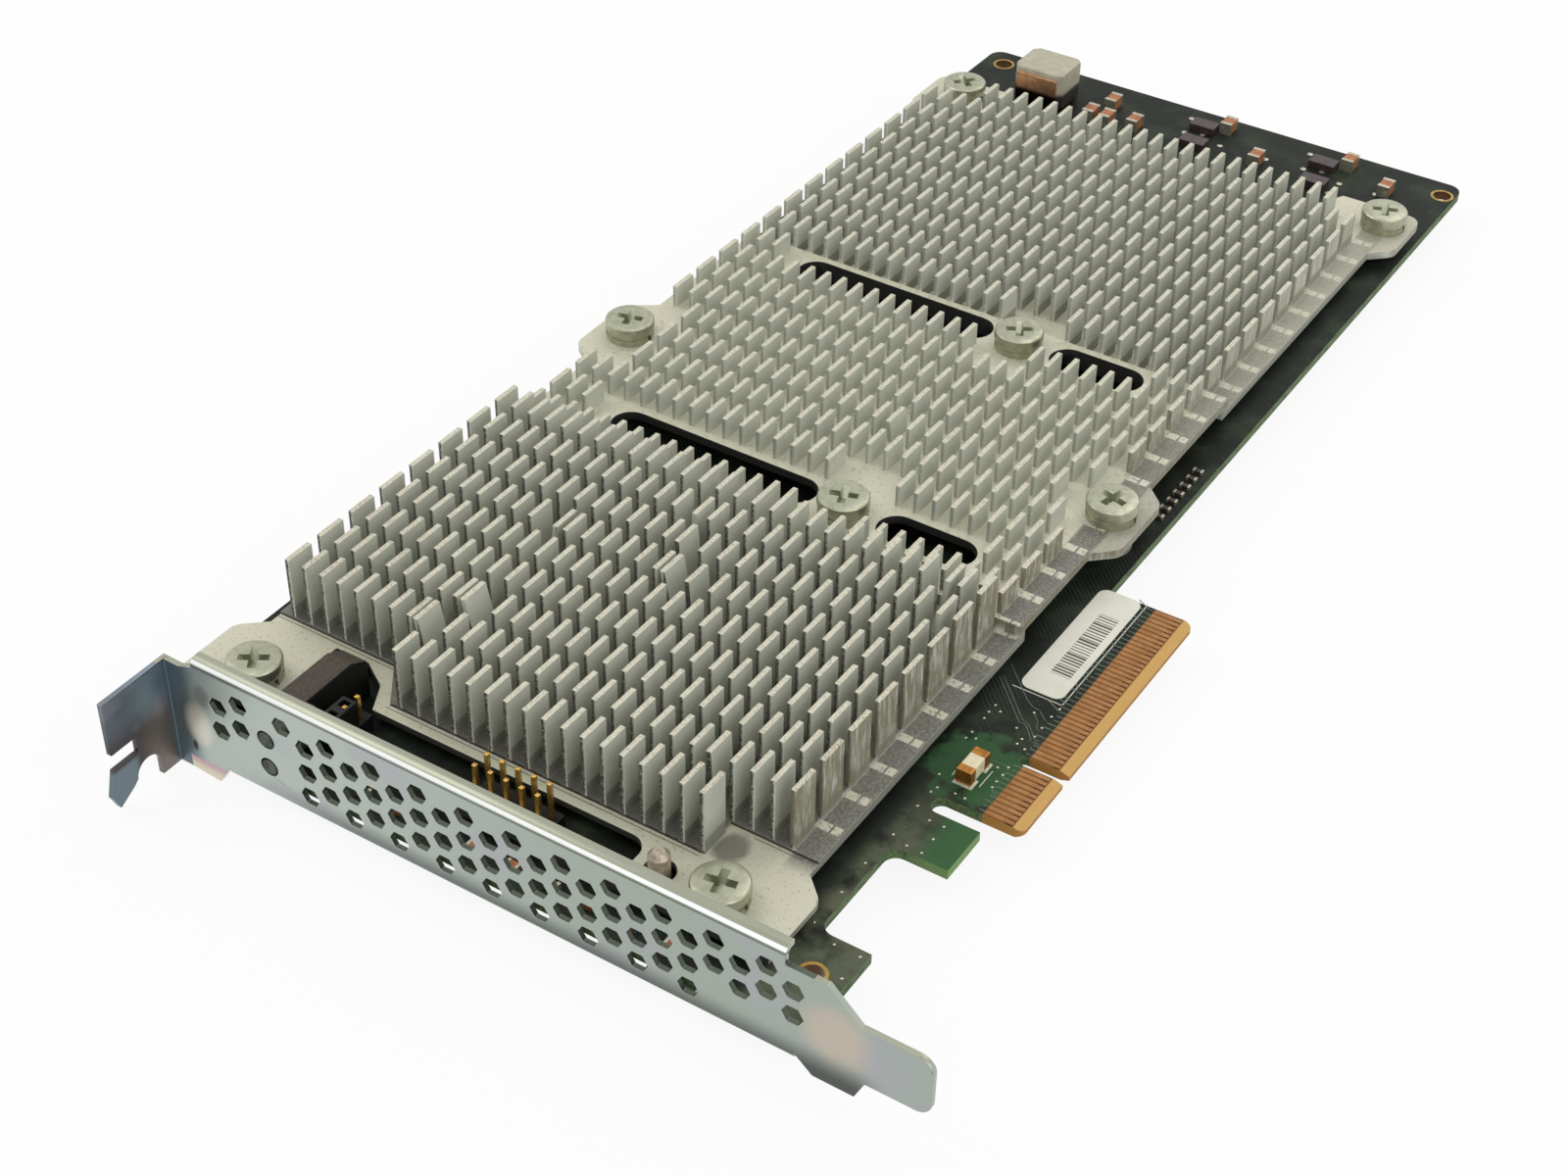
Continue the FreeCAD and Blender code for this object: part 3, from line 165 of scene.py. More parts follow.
def mottled(name, look):
    finish = Finish(name)
    cloud = finish.cloud(look["grain"])
    share = finish.rise(cloud, *mottleLook["share"])
    colour = finish.blend(share, look["tone"], look["other"])
    # painted shade on faces that do not face up
    if "side" in look:
        colour = finish.blend(finish.rise(finish.facing("Z"), *mottleLook["sideFacing"]), colour, look["side"])
    # painted shadow on the lower part of the part, near the board
    if "foot" in look:
        above, below = (look["foot"] * part for part in mottleLook["footFade"])
        colour = finish.blend(finish.rise(finish.z, above, below), colour, look["footShade"])
    rough = look["rough"] + (cloud - 0.5) * mottleLook["roughSpread"]
    bumps = finish.cloud(look["grain"] * mottleLook["bumpGrain"])
    return finish.close(colour, rough, look.get("metal", 0.0), bumps, mottleLook["bumpDepth"],
                        specular=look.get("shine", 0.5))


# cast and saw-cut aluminium of the heat sink
castLook = {
    "face": tone(198, 201, 188),
    "pale": tone(208, 210, 198),
    # tone of the sawn fin tops, also laid on the right margin as painted light
    "sawn": tone(208, 205, 187),
    "sawnDull": tone(176, 172, 154),
    "plate": tone(202, 200, 180),
    "fleck": tone(124, 119, 103),
    "end": tone(118, 117, 108),
    "endDark": tone(60, 59, 54),
    "endPale": tone(176, 174, 160),
    # dark tone of the dirt and the dark patch, also used as painted shade at the fin roots
    "sootAndShade": tone(92, 91, 87),
    "ash": tone(132, 131, 123),
    # painted shade on the plate between the fins
    "floor": tone(86, 84, 82),
    "brown": tone(132, 126, 102),
    "rust": tone(126, 92, 68),
    "cutSide": tone(66, 66, 61),
    # painted shade on faces turned sideways, low down
    "rim": tone(104, 102, 94),
    # painted shade low in the slots across the fins
    "slotWallShade": tone(44, 44, 41),
    "slotX": (-95.2 * mm, -30.5 * mm),
    "slotY": (28.66 * mm, 82.63 * mm),
    "slotReach": 3.5 * mm,
    "columnPitch": 3.096 * mm,
    "firstColumn": -105.33 * mm,
    "rowPitch": 6.746 * mm,
    "firstRow": -38.5 * mm,
    "lipX": (-82.6 * mm, -31.2 * mm),
    "lipY": (-41.55 * mm, -34.95 * mm),
    "scribeRight": (-27.0 * mm, -19.6 * mm),
    "scribeHalf": (0.05 * mm, 0.12 * mm),
    "darkPatchSpot": (-28.4 * mm, -38.2 * mm, 2.3 * mm, 2.9 * mm),
    "darkPatchRim": (1.5, 0.4),
    "gapLightHalf": 0.82 * mm,
    "gapLightSoft": 0.85,
    "gapLightStart": -33.5 * mm,
    "splitLine": -19.35 * mm,
    "splitHalf": (0.1 * mm, 0.2 * mm),
    # facings or places between which something changes
    "facing": (0.6, 0.9),
    "belowTops": (6.3 * mm, 5.7 * mm),
    "frontFade": (-30 * mm, 20 * mm),
    "rootFade": (9 * mm, 2.5 * mm),
    "rimLevel": (5.3 * mm, 5.1 * mm),
    "bite": (0.0, 0.2 * mm),
    "biteRough": 0.9 * mm,
    "dottedFade": (8 * mm, 32 * mm),
    "frontEdgeY": (-28 * mm, -30 * mm),
    "frontEdgeZ": (3.3 * mm, 3.2 * mm),
    "fieldLevel": (2.9 * mm, 3.1 * mm),
    "fieldRear": (19 * mm, 18.5 * mm),
    "fieldSide": (-21.5 * mm, -21.9 * mm),
    "fieldFade": (-25 * mm, 5 * mm),
    "wornSide": (-25 * mm, -23 * mm),
    "marginSide": (-21.7 * mm, -21.1 * mm),
    "marginFront": (-38 * mm, -34 * mm),
    "marginFade": (40 * mm, 130 * mm),
    "earSide": (-17.7 * mm, -17.0 * mm),
    "plateEdge": (-17.8 * mm, -18.1 * mm),
    "outerSide": (-22.4 * mm, -22.1 * mm),
    "outerLevel": (3.2 * mm, 4.5 * mm),
    # size of each cloud in millimetres, its detail, its roughness and its stretch
    "faceCloud": (7,),
    "grimeCloud": (1.6, 5, 0.7),
    "grainCloud": (0.34, 4, 0.7),
    "speckCloud": (0.24, 2, 0.6),
    "broadCloud": (22, 2),
    "fleckCloud": (0.55, 4, 0.7),
    "breakUpCloud": (0.6, 3, 0.7),
    "streakCloud": (0.6, 3, 0.6, (1, 1, 0.14)),
    # level of a cloud where a tone is none, and where it is full
    "paleLimits": (0.35, 0.7),
    "endLimits": (0.38, 0.6),
    "speckLimits": (0.6, 0.68),
    "fleckLimits": (0.57, 0.66),
    "sawnLimits": (0.45, 0.62),
    "wornLimits": (0.5, 0.7),
    "rustLimits": (0.5, 0.62),
    "ashLimits": (0.4, 0.62),
    "breakUpLimits": (0.54, 0.64),
    "streakLimits": (0.25, 0.6),
    # how strongly a tone shows or is lost
    "rootShare": (0.1, 0.22),
    "rimShare": 0.5,
    "biteShare": (0.4, 0.6),
    "fleckShare": 0.55,
    "fieldShare": (1, -0.45),
    "floorShare": (0.7, 0.3),
    "darkPatchRough": 0.9,
    "darkPatchShare": 0.7,
    "scribeShare": 0.75,
    "wornShare": 0.7,
    "rustShare": 0.8,
    "fadeLoss": 0.5,
    "dirtShare": (0.92, -0.45),
    "breakUpLoss": 0.85,
    "gapLightShare": 0.95,
    "streakShare": 0.92,
    "speckShare": 0.7,
    "rough": (0.5, 0.18),
    "bumps": (0.4, 0.5),
    "bumpDepth": 0.05,
    "metal": 0.3,
}


def makeCastFinish(look):
    finish = Finish("castAluminium")
    x, y, z = finish.x, finish.y, finish.z
    up = finish.rise(finish.facing("Z"), *look["facing"])
    low = finish.rise(z, *look["belowTops"])
    floor, tops = up * low, up * (1 - low)
    ends = finish.rise(abs(finish.facing("Y")), *look["facing"])
    sides = finish.rise(abs(finish.facing("X")), *look["facing"])
    grime = finish.cloud(*look["grimeCloud"])
    grain = finish.cloud(*look["grainCloud"])
    speck = finish.cloud(*look["speckCloud"])
    broad = finish.cloud(*look["broadCloud"])

    # smooth broad faces with painted shade at the root, and rough narrow ends
    patches = finish.rise(finish.cloud(*look["faceCloud"]), *look["paleLimits"])
    colour = finish.blend(patches, look["face"], look["pale"])
    front = 1 - finish.rise(y, *look["frontFade"])
    root = finish.rise(z, *look["rootFade"]) * sides
    colour = finish.blend(root * finish.gain(look["rootShare"], front), colour, look["sootAndShade"])
    # painted shade on faces turned sideways below about 5.2 mm: the plate's side edges and the lower fin faces
    colour = finish.blend(sides * finish.rise(z, *look["rimLevel"]) * look["rimShare"], colour, look["rim"])
    rough = finish.blend(finish.rise(speck, *look["endLimits"]), look["endDark"], look["end"])
    rough = finish.blend(finish.rise(speck, *look["speckLimits"]), rough, look["endPale"])
    pitch = look["columnPitch"]
    across = (x - look["firstColumn"] + pitch / 2) % pitch - pitch / 2
    bite = 1 - finish.rise(across + (speck - 0.5) * look["biteRough"], *look["bite"])
    dotted = 1 - finish.rise(y, *look["dottedFade"])
    colour = finish.blend(ends * bite * finish.gain(look["biteShare"], dotted), colour, rough)
    frontEdge = finish.rise(y, *look["frontEdgeY"]) * finish.rise(z, *look["frontEdgeZ"])
    colour = finish.blend(ends * frontEdge, colour, look["cutSide"])
    # painted shade low on the walls of the two slots across the fins
    for slotY in look["slotY"]:
        inside = (abs(y - slotY) < look["slotReach"]) * (x > look["slotX"][0]) * (x < look["slotX"][1])
        colour = finish.blend(inside * low * (1 - up), colour, look["slotWallShade"])

    # flecked plate, with painted shade on the plate between the front fins
    fleck = finish.rise(finish.cloud(*look["fleckCloud"]), *look["fleckLimits"])
    plate = finish.blend(fleck * look["fleckShare"], look["plate"], look["fleck"])
    colour = finish.blend(floor, colour, plate)
    field = finish.rise(z, *look["fieldLevel"])
    field = field * finish.rise(y, *look["fieldRear"])
    field = field * finish.rise(x, *look["fieldSide"])
    field = field * finish.gain(look["fieldShare"], finish.rise(y, *look["fieldFade"]))
    colour = finish.blend(floor * field * finish.gain(look["floorShare"], grime), colour, look["floor"])

    # dark patch beside the front right screw, and a scribed line along the lip and right of it
    spotX, spotY, spotWide, spotLong = look["darkPatchSpot"]
    awayX, awayY = (x - spotX) / spotWide, (y - spotY) / spotLong
    uneven = (grime - 0.5) * look["darkPatchRough"]
    darkPatch = finish.rise(awayX * awayX + awayY * awayY + uneven, *look["darkPatchRim"])
    colour = finish.blend(floor * darkPatch * look["darkPatchShare"], colour, look["sootAndShade"])
    ahead = (x > look["lipX"][0]) * (x < look["lipX"][1])
    lipLine = look["lipY"][1] + ahead * (look["lipY"][0] - look["lipY"][1])
    scribe = 1 - finish.rise(abs(y - lipLine), *look["scribeHalf"])
    scribe = scribe * ((x < look["lipX"][1]) + (x > look["scribeRight"][0]) * (x < look["scribeRight"][1]))
    colour = finish.blend(floor * scribe * look["scribeShare"], colour, look["cutSide"])

    # sawn tops, brown here and there in the front rows
    sawn = finish.blend(finish.rise(speck, *look["sawnLimits"]), look["sawn"], look["sawnDull"])
    colour = finish.blend(tops, colour, sawn)
    worn = finish.rise(broad, *look["wornLimits"]) + finish.rise(x, *look["wornSide"]) * look["wornShare"]
    rusty = finish.rise(grain, *look["rustLimits"]) * look["rustShare"]
    colour = finish.blend(front * tops * worn * rusty, colour, look["rust"])

    # dirt along the right margin, with painted light: bright patches in line with the gaps between the rows,
    # where light falls through between the fins
    margin = finish.rise(x, *look["marginSide"]) * floor
    margin = margin * finish.rise(y, *look["marginFront"])
    fade = 1 - finish.rise(y, *look["marginFade"]) * look["fadeLoss"]
    dirt = finish.blend(finish.rise(grain, *look["ashLimits"]), look["sootAndShade"], look["ash"])
    onEar = finish.rise(x, *look["earSide"])
    colour = finish.blend(margin * fade * finish.gain(look["dirtShare"], onEar), colour, dirt)
    shift = (y - look["firstRow"]) % look["rowPitch"]
    half = look["gapLightHalf"]
    gap = 1 - finish.rise(abs(shift - look["rowPitch"] / 2), half * look["gapLightSoft"], half)
    split = finish.rise(abs(x - look["splitLine"]), *look["splitHalf"])
    edge = finish.rise(x, *look["plateEdge"])
    brokenUp = finish.rise(finish.cloud(*look["breakUpCloud"]), *look["breakUpLimits"])
    cut = gap * split * edge * margin * (y > look["gapLightStart"]) * (1 - brokenUp * look["breakUpLoss"])
    # painted light: the sawn tone laid on in bright patches, broken up by a cloud
    colour = finish.blend(cut * look["gapLightShare"], colour, look["sawn"])

    # brown streaks and black specks on the outermost fins
    outer = finish.rise(x, *look["outerSide"]) * (1 - up) * finish.rise(z, *look["outerLevel"]) * fade
    streak = finish.rise(finish.cloud(*look["streakCloud"]), *look["streakLimits"])
    colour = finish.blend(outer * streak * look["streakShare"], colour, look["brown"])
    dark = finish.rise(speck, *look["speckLimits"]) * look["speckShare"]
    colour = finish.blend(outer * dark, colour, look["endDark"])

    bumps = grime * look["bumps"][0] + speck * (look["bumps"][1] + ends)
    return finish.close(colour, finish.gain(look["rough"], grime), look["metal"], bumps, look["bumpDepth"])


# zinc plate on the folded bracket
zincLook = {
    "grey": tone(182, 191, 184),
    "dull": tone(160, 170, 160),
    "violet": tone(172, 170, 184),
    "slate": tone(106, 122, 128),
    "cream": tone(230, 224, 212),
    # painted shade
    "shadeGrey": tone(100, 106, 104),
    "peach": tone(200, 184, 168),
    # painted shade and dark reflection, low on the face and in a slit
    "darkShade": tone(50, 52, 50),
    "tabBlue": tone(112, 130, 142),
    "tabDark": tone(62, 57, 58),
    "tabBrown": tone(118, 110, 103),
    "fold": tone(158, 152, 138),
    "footPink": tone(196, 162, 168),
    "footCream": tone(222, 215, 192),
    # painted dark reflection on upward faces
    "top": tone(152, 154, 138),
    # painted highlight and painted dark reflection line of the top bend
    "bendHighlight": tone(244, 245, 240),
    "bendDarkReflection": tone(104, 107, 97),
    # painted shade on the vent walls
    "hole": tone(86, 92, 82),
    "face": -59.0 * mm,
    "foldEdge": -104.88 * mm,
    "patch": (-100.1 * mm, 3.8 * mm, 2.1 * mm, 3.3 * mm),
    "shade": (-98.7 * mm, 9.4 * mm, 1.3 * mm, 1.8 * mm),
    "slit": (-101.4 * mm, -0.5 * mm, 0.4 * mm, 0.9 * mm),
    "blush": (0.3 * mm, 4.6 * mm, 4.5 * mm, 4.4 * mm),
    "lilac": (7.0 * mm, 4.2 * mm, 3.5 * mm, 4.0 * mm),
    "ventX": (-99.5 * mm, -3.0 * mm),
    "ventZ": (-1.6 * mm, 13.2 * mm),
    "ventY": (0.03 * mm, 0.84 * mm),
    "footX": (-102.6 * mm, -95.3 * mm),
    "footDepth": 0.5 * mm,
    "foldDepth": 1.2 * mm,
    # facings or places between which something changes
    "upFacing": (0.7, 0.85),
    "outFacing": (0.5, 0.9),
    "wallFacing": (0.5, 0.2),
    "bendFacing": (0.2, 0.3),
    "bendLevel": (13.6 * mm, 13.8 * mm),
    "brightSlope": ((0.42, 0.5), (0.82, 0.72)),
    "dimSlope": ((0.1, 0.2), (0.42, 0.34)),
    "ovalRim": (2.0, 0.0),
    "dullX": (-88 * mm, -25 * mm),
    "slateX": (-99 * mm, -102.5 * mm),
    "darkShadeZ": (1.8 * mm, -3.2 * mm),
    "darkShadeX": (-97 * mm, -70 * mm),
    "darkShadeEnd": (3 * mm, 8 * mm),
    "tabToneDepth": (2 * mm, 7.5 * mm),
    "upperZ": (4 * mm, 9.5 * mm),
    "upperDepth": (3.5 * mm, 9 * mm),
    "tipZ": (1.8 * mm, 0.8 * mm),
    "tipDepth": (6.5 * mm, 8 * mm),
    "tabDepth": (0.3 * mm, 0.8 * mm),
    "footZ": (-2.4 * mm, -3.0 * mm),
    "footFade": (-2.7 * mm, -4.6 * mm),
    # size of each cloud in millimetres, its detail, its roughness and its stretch
    "filmCloud": (14, 2, 0.5, (1, 1, 1.6)),
    "tabHazeCloud": (8, 2),
    "fineCloud": (0.6, 2, 0.5, (0.3, 1, 1)),
    "filmLimits": (0.5, 0.68),
    "tabHazeLimits": (0.48, 0.7),
    # how strongly a tone shows
    "dullShare": 0.85,
    "filmShare": 0.4,
    "shadeShare": 0.5,
    "blushShare": 0.8,
    "lilacShare": 0.35,
    "darkShadeShare": 0.85,
    "dimShare": 0.8,
    "upperShare": (1, -0.55),
    "tabHazeShare": 0.25,
    "rough": (0.3, 0.14),
    "bumpDepth": 0.006,
    "metal": 0.75,
}


def makeZincFinish(look):
    finish = Finish("zincPlate")
    x, y, z = finish.x, finish.y, finish.z
    film = finish.cloud(*look["filmCloud"])
    up = finish.rise(finish.facing("Z"), *look["upFacing"])
    across = finish.facing("Y")
    outside = finish.rise(across * -1, *look["outFacing"])

    # 1 inside an ellipse on the face, fading out at its rim
    def oval(place):
        reachX, reachZ = (x - place[0]) / place[2], (z - place[1]) / place[3]
        return finish.rise(reachX * reachX + reachZ * reachZ, *look["ovalRim"])

    colour = finish.blend(finish.rise(x, *look["dullX"]) * look["dullShare"], look["grey"], look["dull"])
    colour = finish.blend(finish.rise(film, *look["filmLimits"]) * look["filmShare"], colour, look["violet"])
    colour = finish.blend(finish.rise(x, *look["slateX"]), colour, look["slate"])
    colour = finish.blend(oval(look["patch"]) * outside, colour, look["cream"])
    # painted shade in an oval on the outer face
    colour = finish.blend(oval(look["shade"]) * outside * look["shadeShare"], colour, look["shadeGrey"])
    # painted shade in a small slit on the outer face
    colour = finish.blend(oval(look["slit"]) * outside, colour, look["darkShade"])
    colour = finish.blend(oval(look["blush"]) * look["blushShare"], colour, look["peach"])
    colour = finish.blend(oval(look["lilac"]) * look["lilacShare"], colour, look["violet"])
    # painted shade and dark reflection along the bottom of the outer face, stronger towards the right
    darkShade = finish.rise(z, *look["darkShadeZ"]) * outside * finish.rise(x, *look["darkShadeX"])
    darkShade = darkShade * (1 - finish.rise(x, *look["darkShadeEnd"]))
    colour = finish.blend(darkShade * look["darkShadeShare"], colour, look["darkShade"])
    # painted dark reflection on the upward faces of the flange
    colour = finish.blend(up, colour, look["top"])

    # painted highlight along the top bend, with a painted dark reflection line under it
    bend = finish.rise(z, *look["bendLevel"]) * finish.rise(across * -1, *look["bendFacing"])
    slope = finish.facing("Z")
    bright, dim = (finish.rise(slope, *start) * finish.rise(slope, *stop)
                   for start, stop in (look["brightSlope"], look["dimSlope"]))
    colour = finish.blend(bend * dim * look["dimShare"], colour, look["bendDarkReflection"])
    colour = finish.blend(bend * bright, colour, look["bendHighlight"])

    # painted shade on the walls of the vents
    wall = finish.rise(abs(across), *look["wallFacing"])
    wall = wall * (y > look["face"] + look["ventY"][0]) * (y < look["face"] + look["ventY"][1])
    wall = wall * (x > look["ventX"][0]) * (x < look["ventX"][1])
    wall = wall * (z > look["ventZ"][0]) * (z < look["ventZ"][1])
    colour = finish.blend(wall, colour, look["hole"])

    # tab darker further out and bluish towards the top, warm fold line, pale foot
    depth = look["face"] - y
    tabTone = finish.blend(finish.rise(depth, *look["tabToneDepth"]), look["tabBrown"], look["tabDark"])
    upper = finish.rise(z, *look["upperZ"])
    upper = upper * finish.gain(look["upperShare"], finish.rise(depth, *look["upperDepth"]))
    tabTone = finish.blend(upper, tabTone, look["tabBlue"])
    haze = finish.rise(finish.cloud(*look["tabHazeCloud"]), *look["tabHazeLimits"])
    tabTone = finish.blend(haze * look["tabHazeShare"], tabTone, look["violet"])
    tip = finish.rise(depth, *look["tipDepth"]) * finish.rise(z, *look["tipZ"])
    tabTone = finish.blend(tip, tabTone, look["slate"])
    colour = finish.blend(finish.rise(depth, *look["tabDepth"]), colour, tabTone)
    fold = (x < look["foldEdge"]) * (depth < look["foldDepth"])
    colour = finish.blend(fold, colour, look["fold"])
    foot = (x > look["footX"][0]) * (x < look["footX"][1]) * (depth < look["footDepth"])
    pale = finish.blend(finish.rise(z, *look["footFade"]), look["footPink"], look["footCream"])
    colour = finish.blend(foot * finish.rise(z, *look["footZ"]), colour, pale)

    fine = finish.cloud(*look["fineCloud"])
    return finish.close(colour, finish.gain(look["rough"], film), look["metal"], fine, look["bumpDepth"])


# solder mask with bare edges and the strip under the contacts
boardLook = {
    "mask": tone(18, 23, 17),
    "haze": tone(44, 52, 40),
    "green": tone(52, 92, 54),
    "dust": tone(128, 126, 112),
    "dusty": tone(92, 98, 78),
    "run": tone(58, 72, 60),
    "edge": tone(98, 118, 82),
    "edgeDark": tone(68, 88, 56),
    "edgeHook": tone(116, 146, 90),
    "bare": tone(206, 164, 98),
    "bareSide": tone(166, 120, 60),
    "strip": tone(128, 86, 44),
    "wornGap": tone(52, 32, 16),
    "lanePitch": 0.9 * mm,
    "laneHalf": (0.1 * mm, 0.17 * mm),
    "fuse": (-11 * mm, -5 * mm),
    "fuseRough": 2e-4,
    "stripStart": -6.05 * mm,
    # facings or places between which something changes
    "flatFacing": (0.55, 0.8),
    "runX": (-12 * mm, -14 * mm),
    "runFront": (0.0, 8 * mm),
    "runRear": (60 * mm, 45 * mm),
    "clearX": (-17 * mm, -13.5 * mm),
    "cornerY": (-6 * mm, -26 * mm),
    "hookX": (-11.5 * mm, -7.5 * mm),
    "hookFront": (-24.5 * mm, -23.5 * mm),
    "hookRear": (-13 * mm, -15 * mm),
    "fuseRim": (7e-5, 3e-5),
    "stripY": (-13 * mm, -12.2 * mm),
    "bareX": (-1.65 * mm, -1.45 * mm),
    "wornX": (-3.0 * mm, -2.6 * mm),
    # size of each cloud in millimetres, its detail, its roughness and its stretch
    "maskCloud": (9, 4),
    "bundleCloud": (13, 1),
    "cornerCloud": (5,),
    "dustCloud": (0.4, 1),
    "fuseCloud": (4, 3),
    "glassCloud": (0.5, 2, 0.5, (1, 0.2, 1)),
    "fineCloud": (0.5,),
    "hazeLimits": (0.45, 0.7),
    "bundleLimits": (0.5, 0.54),
    "cornerLimits": (0.25, 0.62),
    "dustLimits": (0.68, 0.76),
    "edgeLimits": (0.4, 0.65),
    # how strongly a tone shows
    "runShare": 0.5,
    "dustyShare": 0.95,
    "dustShare": 0.6,
    "hookShare": 0.9,
    "fuseShare": 0.75,
    "wornShare": 0.8,
    "bareShare": (0.85, 0.15),
    "rough": (0.5, 0.2),
    "bumps": (0.4, 0.3),
    "bumpDepth": 0.015,
    "coat": 0.03,
    "shine": 0.16,
}


def makeBoardFinish(look):
    finish = Finish("solderMask")
    x, y = finish.x, finish.y
    flat = finish.rise(abs(finish.facing("Z")), *look["flatFacing"])
    cloud = finish.cloud(*look["maskCloud"])
    colour = finish.blend(finish.rise(cloud, *look["hazeLimits"]), look["mask"], look["haze"])

    # copper runs under the mask, in slanted bundles beside the label
    lane = (x + y) % look["lanePitch"]
    bundle = finish.rise(finish.cloud(*look["bundleCloud"]), *look["bundleLimits"])
    runs = (1 - finish.rise(abs(lane - look["lanePitch"] / 2), *look["laneHalf"])) * bundle
    shaded = finish.rise(x, *look["runX"]) * finish.rise(y, *look["runFront"]) * finish.rise(y, *look["runRear"])
    colour = finish.blend(runs * shaded * look["runShare"], colour, look["run"])

    # dust, thicker towards the front right corner
    clear = finish.rise(x, *look["clearX"])
    corner = clear * finish.rise(y, *look["cornerY"])
    corner = corner * finish.rise(finish.cloud(*look["cornerCloud"]), *look["cornerLimits"])
    colour = finish.blend(corner * look["dustyShare"], colour, look["dusty"])
    dust = finish.rise(finish.cloud(*look["dustCloud"]), *look["dustLimits"])
    colour = finish.blend(clear * dust * look["dustShare"], colour, look["dust"])

    # greener mask on the hook and round the fuse
    hook = finish.rise(x, *look["hookX"]) * finish.rise(y, *look["hookFront"]) * finish.rise(y, *look["hookRear"])
    fuseX, fuseY = x - look["fuse"][0], y - look["fuse"][1]
    uneven = (finish.cloud(*look["fuseCloud"]) - 0.5) * look["fuseRough"]
    fuse = finish.rise(fuseX * fuseX + fuseY * fuseY + uneven, *look["fuseRim"])
    colour = finish.blend(hook * look["hookShare"], colour, look["green"])
    colour = finish.blend(fuse * look["fuseShare"], colour, look["green"])

    # brown strip between the contacts, cut edges, and the bare chamfer
    strip = (x > look["stripStart"]) * finish.rise(y, *look["stripY"])
    colour = finish.blend(strip, colour, look["strip"])
    glass = finish.cloud(*look["glassCloud"])
    edge = finish.blend(finish.rise(glass, *look["edgeLimits"]), look["edge"], look["edgeDark"])
    edge = finish.blend(hook, edge, look["edgeHook"])
    colour = finish.blend(1 - flat, colour, edge)
    colour = finish.blend(strip * (1 - flat), colour, look["bareSide"])
    worn = strip * flat * finish.rise(x, *look["wornX"])
    colour = finish.blend(worn * look["wornShare"], colour, look["wornGap"])
    bare = finish.rise(x, *look["bareX"])
    colour = finish.blend(bare * flat * finish.gain(look["bareShare"], glass), colour, look["bare"])

    bumps = look["bumps"][0] * runs + look["bumps"][1] * finish.cloud(*look["fineCloud"])
    return finish.close(colour, finish.gain(look["rough"], cloud), 0.0, bumps, look["bumpDepth"],
                        look["coat"] * flat, look["shine"])


# printed film: bars in one half, the other half plain
labelLook = {
    "film": tone(222, 221, 207),
    "grey": tone(204, 202, 189),
    "ink": tone(26, 26, 28),
    "barX": (-12.2 * mm, -9.1 * mm),
    "barY": (18.2 * mm, 33.6 * mm),
    "barStep": 0.62 * mm,
    "barShare": (0.2, 0.6),
    "inkShare": 0.95,
    "ageCloud": 6,
    "ageLimits": (0.45, 0.75),
    "ageShare": 0.6,
    "rough": (0.45, 0.1),
    "sheenCloud": 3,
    "waveCloud": 2,
    "waveDepth": 0.01,
}


def makeLabelFinish(look):
    finish = Finish("labelFilm")
    x, y = finish.x, finish.y
    along = y / look["barStep"]
    step = finish.node("ShaderNodeMath", {"operation": "FLOOR"}, {0: along})
    chance = finish.node("ShaderNodeTexWhiteNoise", {"noise_dimensions": "1D"}, {"W": step})
    window = (x > look["barX"][0]) * (x < look["barX"][1]) * (y > look["barY"][0]) * (y < look["barY"][1])
    age = finish.rise(finish.cloud(look["ageCloud"]), *look["ageLimits"])
    colour = finish.blend(age * look["ageShare"], look["film"], look["grey"])
    bars = window * ((along % 1.0) < finish.gain(look["barShare"], chance))
    colour = finish.blend(bars * look["inkShare"], colour, look["ink"])
    sheen = finish.gain(look["rough"], finish.cloud(look["sheenCloud"]))
    return finish.close(colour, sheen, 0.0, finish.cloud(look["waveCloud"]), look["waveDepth"])


